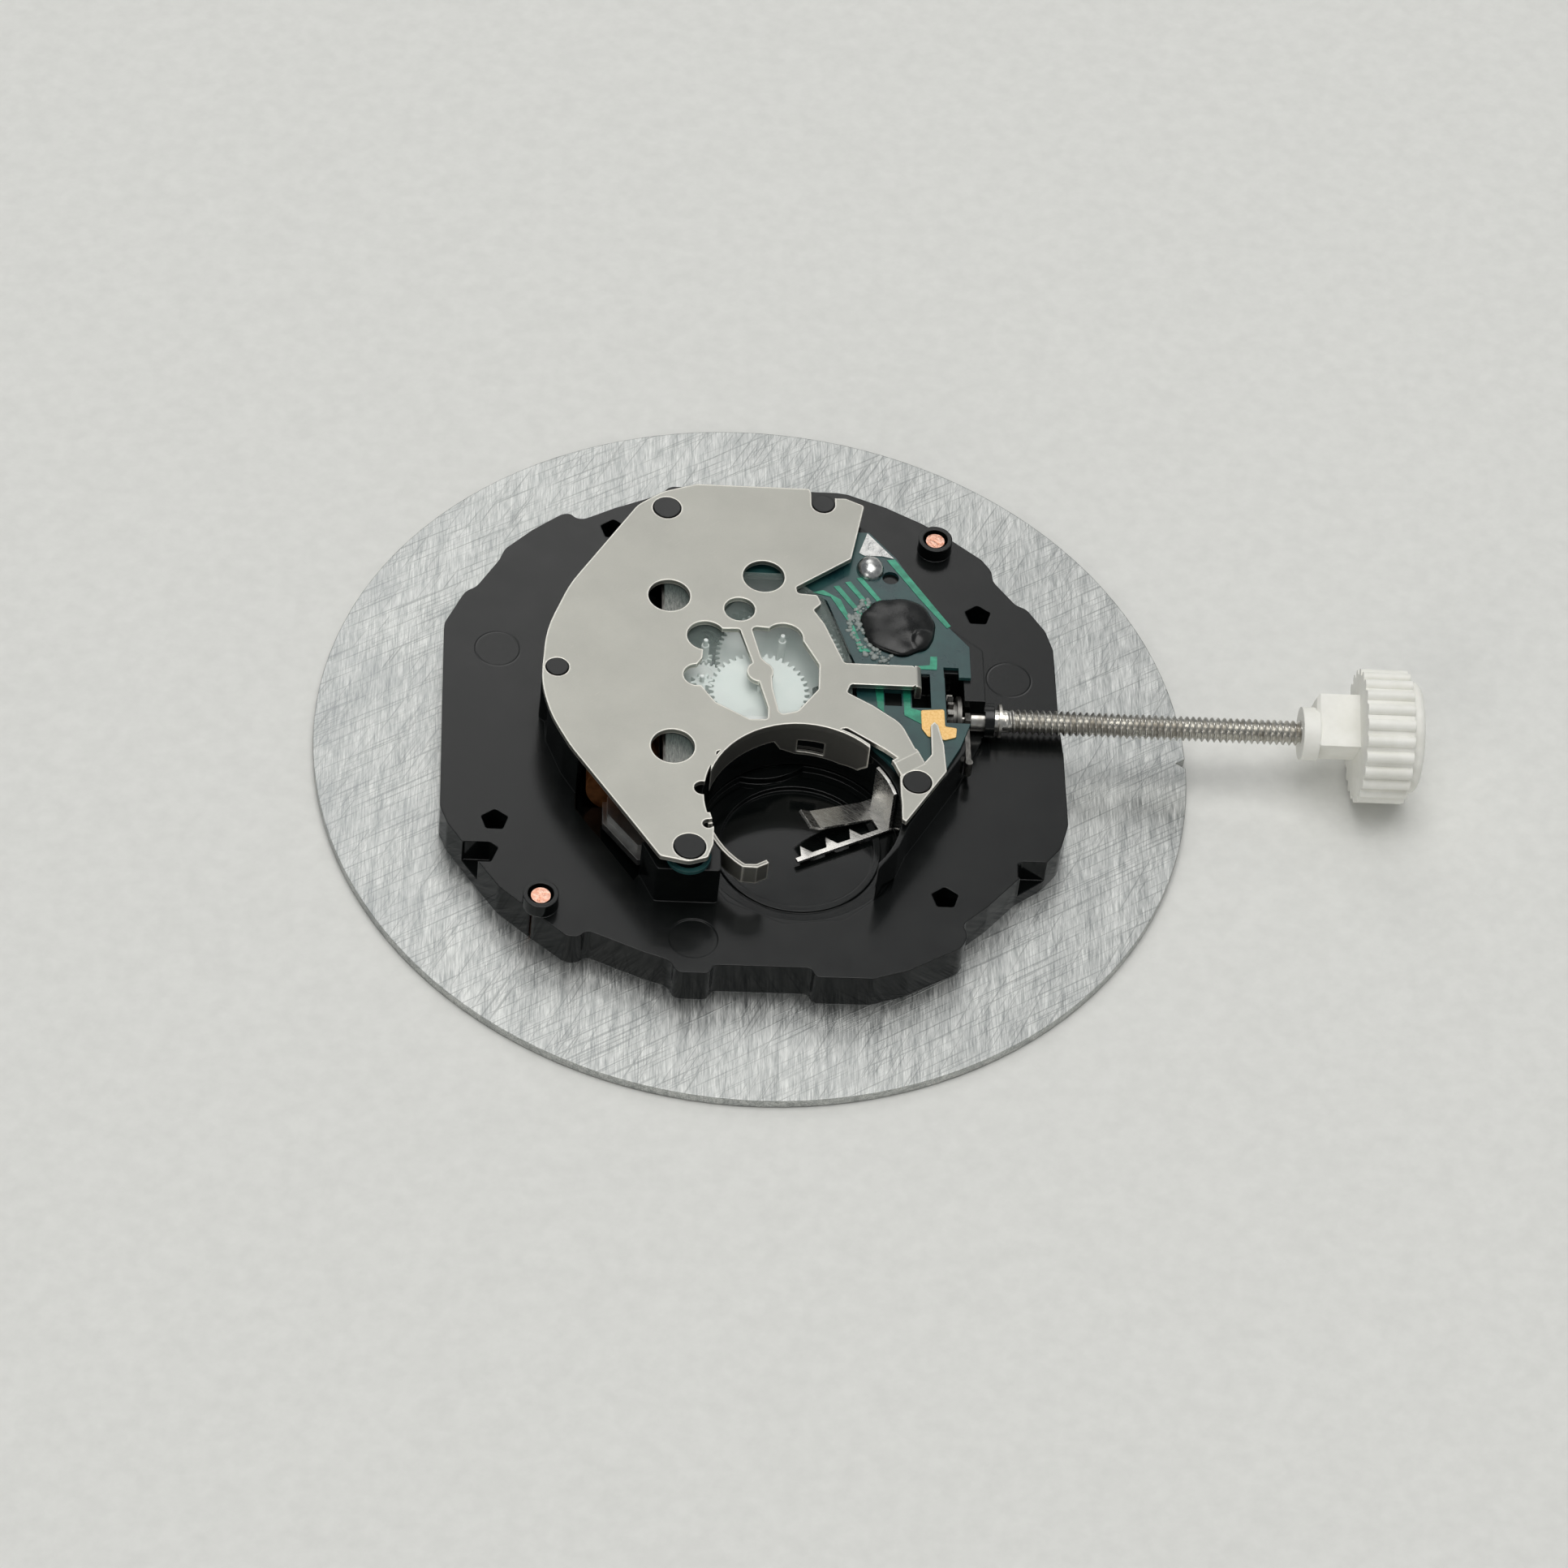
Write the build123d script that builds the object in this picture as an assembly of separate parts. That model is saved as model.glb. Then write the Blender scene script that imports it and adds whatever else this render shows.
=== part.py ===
from build123d import *

import os
from math import acos, atan2, cos, degrees, hypot, radians, sin, tan

# A three-hand quartz watch movement on its dial disc, lying with the dial underneath.
# Millimetres. The origin is on the axis of the hands, on the disc's back face.
# +X runs out along the setting stem, +Z points away from the dial.

# ---- heights ----
DIAL_THICK = 0.35
MOTION_TOP = 0.75       # roof of the motion-work pocket on the dial side
TRAIN_FLOOR = 1.0       # floor of the train cavity and of the cell well
FLANGE_TOP = 1.5
STEM_Z = 2.1
BLOCK_TOP = 3.25        # seat of the circuit board and the train bridge
BRIDGE_TOP = 3.6
BOARD_THICK = 0.15
COVER_UNDER = 3.65
COVER_THICK = 0.2
COVER_TOP = COVER_UNDER + COVER_THICK
POST_TOP = COVER_TOP + 0.04
CORNER_DROP = 0.2       # the cover's contact corner sits lower than the rest

# ---- disc ----
DIAL_R = 15.65
DIAL_HOLE_R = 1.05
NOTCH_DEPTH = 0.35
FOOT_R = 0.34
FOOT_TOP = 1.95
FEET = [(6.72, 8.73), (-7.58, -8.62)]
FOOT_BOSS_R = 0.62
FOOT_BOSS_TOP = 2.05
FOOT_BORE_R = 0.45

# ---- cell well ----
WELL = (1.4, -5.35)
WELL_R = 3.5
WELL_RIM_R = 3.65
RIM_SIDES = 11
LIP_R = 2.95
LIP_WIDTH = 0.25
LIP_HEIGHT = 0.18
COVER_CUT_R = 3.46
SHEET_GAP = 0.02        # between sheet metal and the plastic wall behind it

# ---- corner radii of the outlines ----
FLANGE_CORNER = 0.7
BLOCK_CORNER = 0.15
COVER_CORNER = 0.12
COVER_BULGE_R = 5.5     # the cover's long curve on the coil side
COVER_WAIST_R = 1.2
WINDOW_CORNER = 0.18
PAD_CORNER = 0.08

# ---- posts that locate and hold the cover ----
POSTS = {(-3.25, 8.05): 0.52, (2.43, 8.55): 0.43, (-7.17, 0.2): 0.42, (-2.57, -7.75): 0.57}
TERMINAL_POST = (-2.57, -7.75)
SHOULDER = 0.2
CORNER_POST = (5.43, -4.3)
CORNER_POST_R = 0.52
POST_GAP = 0.03
WELL_NOTCHES = {(-2.1, -5.1): 0.3, (-1.92, -6.7): 0.2}
TERMINAL_LOBE_R = 0.78
NOTCH_FLOOR = 0.5
CENTRE_BOSS = (0.0, 0.37)
CENTRE_BOSS_R = 0.47
SIGHT_HOLES = {(-3.2, 3.8): 0.75, (0.2, 4.9): 0.75, (-0.69, 3.28): 0.55, (-3.12, -3.25): 0.77}

# ---- going train: centre distances follow from the four arbor positions ----
FIFTH_AT = (-2.03, 0.35)
ROTOR_AT = (-1.88, 2.05)
THIRD_AT = (0.87, 2.40)
ROTOR_TEETH, FIFTH_TEETH = 8, 48
FIFTH_PINION, FOURTH_TEETH = 8, 40
FOURTH_PINION, THIRD_TEETH = 8, 60
THIRD_PINION, CENTRE_TEETH = 8, 64
CANNON_TEETH, MINUTE_TEETH = 12, 36
MINUTE_PINION, HOUR_TEETH = 10, 40
SET_TEETH, CORRECTOR_TEETH = 24, 16
MOTION_MODULE = 0.08
MINUTE_X = (CANNON_TEETH + MINUTE_TEETH) * MOTION_MODULE / 2
SET_X = MINUTE_X + (MINUTE_TEETH + SET_TEETH) * MOTION_MODULE / 2
CORRECTOR_X = SET_X + (SET_TEETH + CORRECTOR_TEETH) * MOTION_MODULE / 2
PIVOT_R = 0.08
PIVOT_HOLE_R = 0.10
ARBOR_R = 0.14
MIDDLE_Z = (1.3, 1.5)
STATOR_Z = (1.5, 1.8)
CENTRE_WHEEL_Z = (1.08, 1.22)
THIRD_WHEEL_Z = (2.05, 2.2)
FIFTH_WHEEL_Z = (2.4, 2.52)
FIFTH_PINION_Z = (2.96, 3.22)
FOURTH_WHEEL_Z = (3.05, 3.2)
ARBOR_TOP = 3.22
PIVOT_TOP = 3.5
CENTRE_TUBE_R = 0.46
CENTRE_BORE_R = 0.17
CAVITY_R = 2.42         # room round the centre wheel
WEB_HOLE_R = 0.49
HOUR_PIPE_R = 0.78
HOUR_SEAT_R = 0.62
HOUR_PIPE_END = -DIAL_THICK - 0.35
CANNON_SEAT_R = 0.30
CANNON_END = -DIAL_THICK - 0.65
SECONDS_END = -DIAL_THICK - 0.95
SEAT_LENGTH = 0.28

# ---- coil and its iron ----
COIL_X = -4.75
COIL_Z = 1.65
COIL_R = 1.3
COIL_HALF = 3.7
CORE_HALF_WIDTH = 0.5
CORE_Z = (1.8, 2.1)

# ---- circuit ----
CRYSTAL_R = 0.42
CRYSTAL_Z = 3.15
CRYSTAL_FROM, CRYSTAL_TO = (2.3, 7.3), (-1.2, 7.3)

# ---- stem and crown ----
THREAD_R = 0.45
THREAD_PITCH = 0.225
THREAD_DEPTH = 0.12
THREAD_FROM, THREAD_TO = 9.5, 19.5
STEM_BORE_R = 0.43
STEM_BEARING_R = 0.40
SQUARE = 0.5
STEM_TIP = 5.95
SQUARE_X = (6.66, 7.3)
CLUTCH_X = (6.75, 7.25)
GROOVE_X = (7.3, 7.62)
LEVER_X = (7.37, 7.55)
LEVER_PIVOT = (7.46, -2.3)
LEVER_Z = (1.85, 2.35)
STEM_COLLAR_X = (8.62, 8.72)
CROWN_BOSS_R = 0.95
CROWN_BLOCK = (1.6, 1.95, 1.6)
CROWN_BLOCK_TILT = 23.4     # the block's top face leans this far towards -Y
CROWN_BLOCK_SHIFT = 0.3     # how far the block stands off the stem's axis, along that face
CROWN_HEAD_R = 2.4
CROWN_SPLINES = 24
SPLINE_R = 0.2
CROWN_END_R = 2.0
CROWN_BOSS_TO = 0.6         # lengths along the stem, from the thread's end
CROWN_BLOCK_MIDDLE = 1.3
CROWN_HEAD_FROM, CROWN_HEAD_TO = 2.05, 3.75
CROWN_TO = 4.2


def cylinder(radius, low, high, at=(0, 0)):
    """An upright cylinder between two heights."""
    return Pos(at[0], at[1], low) * Cylinder(radius, high - low, align=(Align.CENTER, Align.CENTER, Align.MIN))


def along_x(radius, start, end, z=STEM_Z):
    """A cylinder along the stem's axis."""
    length = end - start
    bar = Cylinder(radius, length, align=(Align.CENTER, Align.CENTER, Align.MIN))
    return Pos(start, 0, z) * Rot(0, 90, 0) * bar


def lying(radius, start, end, z):
    """A cylinder that lies level from one point to another."""
    body = Cylinder(radius, distance(start, end), align=(Align.CENTER, Align.CENTER, Align.MIN))
    return Pos(*start, z) * Rot(0, 0, heading(start, end)) * Rot(0, 90, 0) * body


def box(low, high):
    """A box given by two opposite corners."""
    size = [b - a for a, b in zip(low, high)]
    return Pos(*low) * Box(*size, align=(Align.MIN, Align.MIN, Align.MIN))


def prism(points, low, high):
    """An upright prism on a polygon, between two heights."""
    return Pos(0, 0, low) * extrude(make_face(Polyline(points, close=True)), high - low)


def corner_arc(before, corner, after, radius):
    """Start, middle and end of the arc that rounds a corner, kept short enough for both its sides."""
    back = ((before[0] - corner[0]) / distance(corner, before), (before[1] - corner[1]) / distance(corner, before))
    on = ((after[0] - corner[0]) / distance(corner, after), (after[1] - corner[1]) / distance(corner, after))
    half = acos(back[0] * on[0] + back[1] * on[1]) / 2
    reach = min(radius / tan(half), 0.45 * distance(corner, before), 0.45 * distance(corner, after))
    inward = (back[0] + on[0], back[1] + on[1])
    share = (reach / cos(half) - reach * tan(half)) / hypot(*inward)
    start = (corner[0] + reach * back[0], corner[1] + reach * back[1])
    middle = (corner[0] + share * inward[0], corner[1] + share * inward[1])
    end = (corner[0] + reach * on[0], corner[1] + reach * on[1])
    return start, middle, end


def rounded(points, radius, low, high):
    """An upright prism on a polygon with rounded corners. A point's third number is a radius of its own."""
    arcs = []
    for index, corner in enumerate(points):
        own = corner[2] if len(corner) == 3 else radius
        arcs.append(corner_arc(points[index - 1], corner, points[(index + 1) % len(points)], own))
    lines = []
    for arc, following in zip(arcs, arcs[1:] + arcs[:1]):
        lines.append(ThreePointArc(*arc))
        lines.append(Line(arc[2], following[0]))
    return Pos(0, 0, low) * extrude(make_face(lines), high - low)


def sheet_strip(points, near, far):
    """A strip whose side view is a polygon in X and Z, reaching from Y near to Y far."""
    side = extrude(make_face(Polyline([(x, z) for x, z in points], close=True)), near - far)
    return Pos(0, near, 0) * Rot(90, 0, 0) * side


def toothed_ring(teeth, module, low, high, tooth_at=0.0):
    """A toothed wheel on the Z axis with one tooth centred on the angle tooth_at."""
    pitch = 360 / teeth
    tip = module * (teeth / 2 + 0.85)
    root = module * (teeth / 2 - 1.15)
    points = []
    for tooth in range(teeth):
        for radius, offset in ((root, -0.32), (tip, -0.13), (tip, 0.13), (root, 0.32)):
            angle = radians(tooth_at + (tooth + offset) * pitch)
            points.append((radius * cos(angle), radius * sin(angle)))
    return prism(points, low, high)


def heading(start, end):
    """The direction from one arbor to another, in degrees."""
    return degrees(atan2(end[1] - start[1], end[0] - start[0]))


def distance(start, end):
    return hypot(end[0] - start[0], end[1] - start[1])


def module_for(first, second, teeth):
    """The module that puts two wheels in mesh, teeth being the sum of both counts."""
    return 2 * distance(first, second) / teeth


def half_pitch(teeth):
    return 180 / teeth


# ---- dial side ----

def dial_disc():
    disc = cylinder(DIAL_R, -DIAL_THICK, 0) - cylinder(DIAL_HOLE_R, -DIAL_THICK, 0)
    tip = DIAL_R - NOTCH_DEPTH
    notch = prism([(tip, 0.15), (DIAL_R + 0.2, -0.2), (DIAL_R + 0.2, 0.5)], -DIAL_THICK, 0)
    return disc - notch


def dial_feet():
    return [cylinder(FOOT_R, 0, FOOT_TOP, foot) for foot in FEET]


def minute_wheel():
    wheel = toothed_ring(MINUTE_TEETH, MOTION_MODULE, 0.38, 0.52)
    pinion_module = 2 * MINUTE_X / (MINUTE_PINION + HOUR_TEETH)
    pinion = toothed_ring(MINUTE_PINION, pinion_module, 0.1, 0.38, 180)
    return Pos(MINUTE_X, 0, 0) * (wheel + pinion - cylinder(0.2, 0.1, 0.52))


def hour_wheel():
    module = 2 * MINUTE_X / (MINUTE_PINION + HOUR_TEETH)
    wheel = toothed_ring(HOUR_TEETH, module, 0.12, 0.28, half_pitch(HOUR_TEETH))
    pipe = cylinder(HOUR_PIPE_R, HOUR_PIPE_END + SEAT_LENGTH, 0.28)
    pipe += cylinder(HOUR_SEAT_R, HOUR_PIPE_END, HOUR_PIPE_END + SEAT_LENGTH)
    bore = cylinder(CENTRE_TUBE_R + 0.05, HOUR_PIPE_END, 0.28)
    return wheel + pipe - bore


def dial_washer():
    return cylinder(1.4, 0.02, 0.06) - cylinder(HOUR_PIPE_R + 0.03, 0.02, 0.06)


def setting_wheel():
    wheel = toothed_ring(SET_TEETH, MOTION_MODULE, 0.38, 0.52, half_pitch(SET_TEETH))
    return Pos(SET_X, 0, 0) * (wheel - cylinder(0.2, 0.38, 0.52))


def corrector_wheel():
    wheel = toothed_ring(CORRECTOR_TEETH, MOTION_MODULE, 0.3, 1.3)
    return Pos(CORRECTOR_X, 0, 0) * (wheel - cylinder(0.2, 0.3, 1.3))


def cannon_pinion():
    pinion = toothed_ring(CANNON_TEETH, MOTION_MODULE, 0.36, 0.68, half_pitch(CANNON_TEETH))
    pipe = cylinder(CENTRE_TUBE_R, CANNON_END + SEAT_LENGTH, 0.68)
    pipe += cylinder(CANNON_SEAT_R, CANNON_END, CANNON_END + SEAT_LENGTH)
    return pinion + pipe - cylinder(CENTRE_BORE_R, CANNON_END, 0.68)


# ---- going train ----

def centre_wheel():
    module = module_for((0, 0), THIRD_AT, CENTRE_TEETH + THIRD_PINION)
    tooth = heading((0, 0), THIRD_AT)
    wheel = toothed_ring(CENTRE_TEETH, module, *CENTRE_WHEEL_Z, tooth)
    hub = cylinder(CENTRE_TUBE_R, 0.68, 1.4)
    return wheel + hub - cylinder(CENTRE_BORE_R, 0.68, 1.4)


def third_wheel():
    back = heading(THIRD_AT, (0, 0))
    wheel_module = module_for((0, 0), THIRD_AT, THIRD_TEETH + FOURTH_PINION)
    pinion_module = module_for((0, 0), THIRD_AT, CENTRE_TEETH + THIRD_PINION)
    wheel = toothed_ring(THIRD_TEETH, wheel_module, *THIRD_WHEEL_Z, back)
    pinion = toothed_ring(THIRD_PINION, pinion_module, 1.05, 1.4, back + half_pitch(THIRD_PINION))
    arbor = cylinder(ARBOR_R, 1.05, ARBOR_TOP) + cylinder(PIVOT_R, 0.8, PIVOT_TOP)
    return Pos(*THIRD_AT, 0) * (wheel + pinion + arbor)


def fourth_wheel():
    """The seconds wheel, whose arbor runs through the hand pipes."""
    wheel_module = module_for((0, 0), FIFTH_AT, FOURTH_TEETH + FIFTH_PINION)
    pinion_module = module_for((0, 0), THIRD_AT, THIRD_TEETH + FOURTH_PINION)
    to_third = heading((0, 0), THIRD_AT)
    wheel = toothed_ring(FOURTH_TEETH, wheel_module, *FOURTH_WHEEL_Z, heading((0, 0), FIFTH_AT))
    pinion = toothed_ring(FOURTH_PINION, pinion_module, 1.98, 2.28, to_third + half_pitch(FOURTH_PINION))
    arbor = cylinder(ARBOR_R, SECONDS_END, ARBOR_TOP) + cylinder(PIVOT_R, ARBOR_TOP, PIVOT_TOP)
    return wheel + pinion + arbor


def fifth_wheel():
    back = heading(FIFTH_AT, (0, 0))
    pinion_module = module_for((0, 0), FIFTH_AT, FOURTH_TEETH + FIFTH_PINION)
    wheel_module = module_for(FIFTH_AT, ROTOR_AT, FIFTH_TEETH + ROTOR_TEETH)
    wheel = toothed_ring(FIFTH_TEETH, wheel_module, *FIFTH_WHEEL_Z, heading(FIFTH_AT, ROTOR_AT))
    pinion = toothed_ring(FIFTH_PINION, pinion_module, *FIFTH_PINION_Z, back + half_pitch(FIFTH_PINION))
    arbor = cylinder(ARBOR_R, 1.55, ARBOR_TOP) + cylinder(PIVOT_R, 1.36, PIVOT_TOP)
    return Pos(*FIFTH_AT, 0) * (wheel + pinion + arbor)


def rotor_pinion():
    module = module_for(FIFTH_AT, ROTOR_AT, FIFTH_TEETH + ROTOR_TEETH)
    back = heading(ROTOR_AT, FIFTH_AT)
    pinion = toothed_ring(ROTOR_TEETH, module, 2.32, 2.6, back + half_pitch(ROTOR_TEETH))
    arbor = cylinder(ARBOR_R, 1.55, ARBOR_TOP) + cylinder(PIVOT_R, 1.36, PIVOT_TOP)
    return Pos(*ROTOR_AT, 0) * (pinion + arbor)


def rotor_magnet():
    return cylinder(0.5, 1.58, 1.98, ROTOR_AT) - cylinder(ARBOR_R, 1.58, 1.98, ROTOR_AT)


# ---- motor ----

def coil_winding():
    axis = Pos(COIL_X, -COIL_HALF, COIL_Z + 0.3) * Rot(-90, 0, 0)
    up = (Align.CENTER, Align.CENTER, Align.MIN)
    body = axis * Cylinder(COIL_R, 2 * COIL_HALF, align=up)
    half = CORE_HALF_WIDTH + 0.05
    slot = box((COIL_X - half, -COIL_HALF, CORE_Z[0] - 0.05), (COIL_X + half, COIL_HALF, CORE_Z[1] + 0.05))
    return body - slot


def coil_core():
    """A flat iron strip through the coil, with both ends resting on the stator."""
    strip = box((COIL_X - CORE_HALF_WIDTH, -4.4, CORE_Z[0]), (COIL_X + CORE_HALF_WIDTH, 4.4, CORE_Z[1]))
    near = prism([(-5.3, -4.2), (-5.3, -5.0), (-4.25, -6.35), (-4.0, -6.35), (-4.0, -4.2)], *CORE_Z)
    far = prism([(-5.3, 4.2), (-4.0, 4.2), (-4.0, 5.6), (-5.0, 5.6)], *CORE_Z)
    return strip + near + far


def stator():
    """One iron plate with two legs that meet round the rotor."""
    near_leg = prism([(-5.45, -4.2), (-5.45, -5.15), (-4.25, -6.75), (-3.95, -6.75), (-2.75, -4.6),
                      (-2.55, -1.6), (-2.75, 0.9), (-3.35, 0.9), (-3.35, -3.85), (-3.9, -4.2)], *STATOR_Z)
    far_leg = prism([(-5.35, 4.1), (-3.3, 4.1), (-3.3, 2.6), (-2.6, 3.2), (-1.2, 3.2), (-2.6, 4.9),
                     (-4.0, 5.8), (-5.05, 5.8)], *STATOR_Z)
    ring = cylinder(1.2, *STATOR_Z, ROTOR_AT)
    tie = prism([(-3.35, 0.8), (-2.75, 0.8), (-2.3, 1.3), (-2.6, 3.0), (-3.35, 2.7)], *STATOR_Z)
    holes = cylinder(0.72, *STATOR_Z, ROTOR_AT) + cylinder(0.45, *STATOR_Z, FIFTH_AT)
    return near_leg + far_leg + ring + tie - holes


def coil_terminal_board():
    """The small board beside the coil where its two leads are soldered."""
    tail = prism([(-3.3, -7.55), (-3.95, -7.1), (-3.95, -5.2), (-2.75, -5.2), (-2.75, -6.6), (-1.85, -7.6)],
                 BLOCK_TOP, BLOCK_TOP + BOARD_THICK)
    lobe = cylinder(TERMINAL_LOBE_R, BLOCK_TOP, BLOCK_TOP + BOARD_THICK, TERMINAL_POST)
    board = tail + lobe - cylinder(0.6, BLOCK_TOP, BLOCK_TOP + BOARD_THICK, TERMINAL_POST)
    return board - cylinder(WELL_R + 0.1, BLOCK_TOP, BLOCK_TOP + BOARD_THICK, WELL)


def coil_solder():
    pads = []
    for y in (-5.6, -6.3):
        dome = Pos(-3.4, y, BLOCK_TOP + BOARD_THICK) * Sphere(0.2)
        pads.append(dome & box((-4, y - 1, BLOCK_TOP + BOARD_THICK), (-2, y + 1, BLOCK_TOP + 1)))
    return pads


# ---- plates ----

def flange_outline():
    """The main plate's edge, anticlockwise from the stem side."""
    return [(10.9, 1.0), (10.88, 4.0), (10.64, 4.9), (10.0, 5.95), (9.62, 6.12), (8.82, 7.25), (8.8, 7.75),
            (8.45, 8.3), (7.2, 9.35), (6.3, 9.98), (5.0, 10.7), (3.6, 11.28), (3.2, 11.34), (-3.0, 11.3),
            (-3.25, 10.9), (-5.0, 10.1), (-6.1, 9.5), (-6.4, 9.5), (-6.65, 9.74), (-6.95, 9.68), (-8.0, 8.85),
            (-9.0, 7.85), (-9.2, 7.3), (-10.0, 5.95), (-10.4, 5.7), (-11.12, 4.15), (-11.14, 3.8),
            (-11.12, -4.4), (-10.85, -5.15), (-10.12, -6.3), (-9.02, -7.92), (-7.85, -8.98), (-6.65, -10.0),
            (-6.25, -10.02), (-5.95, -9.72), (-4.0, -10.58), (-3.1, -10.9), (-2.9, -11.4), (-1.75, -11.4),
            (-1.6, -11.02), (1.75, -11.0), (1.9, -11.4), (3.9, -11.38), (5.15, -10.95), (7.05, -9.84),
            (7.22, -9.3), (7.06, -8.85), (8.0, -8.0), (9.1, -6.75), (10.1, -6.0), (10.7, -5.25), (11.0, -4.2),
            (11.0, -0.8)]


def block_outline():
    """The raised middle of the main plate, under the cover and the board."""
    return [(8.05, 2.3), (6.9, 3.3), (6.0, 4.7), (5.1, 6.5), (4.1, 7.75), (3.3, 8.6), (1.9, 9.05), (-2.2, 9.05),
            (-3.5, 8.7), (-4.4, 7.6), (-6.4, 4.5), (-7.2, 2.7), (-7.55, 0.9), (-7.45, -1.2), (-6.9, -2.7),
            (-6.5, -3.4), (-4.6, -6.5), (-4.1, -7.3), (-3.65, -8.3), (-1.45, -8.3), (-1.45, -7.2), (0.6, -8.6),
            (3.9, -8.1), (4.75, -6.9), (5.15, -5.9), (7.15, -2.6), (8.05, -0.7)]


def train_cavity():
    """Room for the wheels, open at the top."""
    cavity = cylinder(CAVITY_R, TRAIN_FLOOR, MIDDLE_Z[0]) + cylinder(0.5, TRAIN_FLOOR, MIDDLE_Z[0], THIRD_AT)
    for place, radius in (((0, 0), 1.9), (THIRD_AT, 2.42), (FIFTH_AT, 1.62), (ROTOR_AT, 1.3)):
        cavity += cylinder(radius, MIDDLE_Z[0], BLOCK_TOP, place)
    return cavity


def bridge_outline():
    return [(-3.35, -4.3), (-2.35, -4.3), (-1.8, -2.9), (-0.5, -1.2), (3.25, -1.2), (3.3, 1.2), (2.38, 4.15),
            (1.05, 5.3), (-3.35, 5.3)]


def coil_room():
    """The coil's trench and the recess at its near end, where the iron shows."""
    reach = COIL_R + 0.08
    trench = box((COIL_X - reach, -COIL_HALF - 0.1, 0.5), (COIL_X + reach, COIL_HALF + 0.1, BLOCK_TOP))
    near = prism([(-6.38, -2.2), (-6.38, -4.3), (-4.35, -7.45), (-4.2, -7.2), (-3.7, -6.85), (-2.9, -5.3),
                  (-2.6, -4.5), (-2.4, -1.5), (-2.6, 1.0), (-3.5, 1.0), (-3.5, -2.2)], 1.0, BLOCK_TOP)
    far = prism([(-5.5, 3.7), (-5.2, 5.95), (-3.9, 5.95), (-2.5, 5.05), (-1.0, 3.3), (-2.4, 0.7), (-3.5, 0.7),
                 (-3.5, 3.7)], STATOR_Z[0], BLOCK_TOP)
    return trench + near + far


def well_room():
    """The cell's round well with a low lip on its floor. A step in its far wall roofs the centre wheel."""
    well = cylinder(WELL_R, TRAIN_FLOOR + 0.1, BLOCK_TOP + 1, WELL)
    well -= cylinder(CAVITY_R + 0.1, TRAIN_FLOOR, MIDDLE_Z[0] + 0.1)
    rim = Pos(*WELL, FLANGE_TOP - 0.12) * extrude(RegularPolygon(WELL_RIM_R, RIM_SIDES, major_radius=False), 0.13)
    near = box((-1.3, -10, FLANGE_TOP), (4.0, WELL[1] - 1.6, BLOCK_TOP + 1)) & cylinder(
        WELL_RIM_R + 0.6, FLANGE_TOP, BLOCK_TOP + 1, WELL)
    floor = cylinder(LIP_R - LIP_WIDTH, TRAIN_FLOOR, TRAIN_FLOOR + 0.2, WELL)
    return well + rim + near + floor


def motion_room():
    """The pocket for the motion work, open towards the disc."""
    room = cylinder(1.75, 0, MOTION_TOP)
    for x, radius in ((MINUTE_X, 1.62), (SET_X, 1.14), (CORRECTOR_X, 0.82)):
        room += cylinder(radius, 0, MOTION_TOP, (x, 0))
    room += cylinder(0.82, MOTION_TOP, 1.45, (CORRECTOR_X, 0))
    return room


def stem_room():
    """The channel for the clutch wheel and the stem's bore through the side wall."""
    channel = box((6.64, -1.15, 1.05), (GROOVE_X[0], 1.15, BLOCK_TOP))
    lever_slot = box((GROOVE_X[0] - 0.05, -2.6, LEVER_Z[0] - 0.1), (8.1, -0.1, BLOCK_TOP))
    bore = along_x(STEM_BORE_R, GROOVE_X[0] - 0.05, 9.0)
    pilot = along_x(0.2, STEM_TIP - 0.1, 6.7)
    groove = box((8.35, -0.85, FLANGE_TOP - 0.08), (11.2, 0.75, FLANGE_TOP + 0.2))
    return channel + lever_slot + bore + pilot + groove


def flange_holes():
    """Five-sided holes, two edge notches and the round mark of an ejector pin."""
    holes = cylinder(0.85, FLANGE_TOP - 0.05, FLANGE_TOP, (-2.3, -9.9))
    for place in ((8.2, 5.55), (6.5, -7.7), (-9.2, -4.95), (-5.05, 9.05)):
        corners = []
        for angle in range(90, 450, 72):
            corners.append((place[0] + 0.5 * cos(radians(angle)), place[1] + 0.5 * sin(radians(angle))))
        holes += rounded(corners, 0.1, 0.3, FLANGE_TOP)
    left_notch = [(-10.3, -5.95), (-9.35, -5.95), (-9.05, -6.2), (-9.3, -6.85), (-10.3, -6.85)]
    right_notch = [(9.12, -6.05), (9.3, -5.92), (10.3, -5.92), (10.0, -6.65), (9.1, -6.7)]
    holes += rounded(left_notch, 0.1, NOTCH_FLOOR, FLANGE_TOP)
    holes += rounded(right_notch, 0.1, NOTCH_FLOOR, FLANGE_TOP)
    return holes


def posts():
    """The pins that pass through the cover, most of them with a shoulder under it."""
    pins = cylinder(CORNER_POST_R - POST_GAP, FLANGE_TOP, POST_TOP - CORNER_DROP, CORNER_POST)
    for place, radius in POSTS.items():
        pins += cylinder(radius - POST_GAP, FLANGE_TOP, POST_TOP, place)
        if place != TERMINAL_POST:
            shoulder = cylinder(radius + SHOULDER, FLANGE_TOP, COVER_UNDER, place)
            pins += shoulder & rounded(cover_points(), COVER_CORNER, FLANGE_TOP, COVER_UNDER)
    return pins


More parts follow.
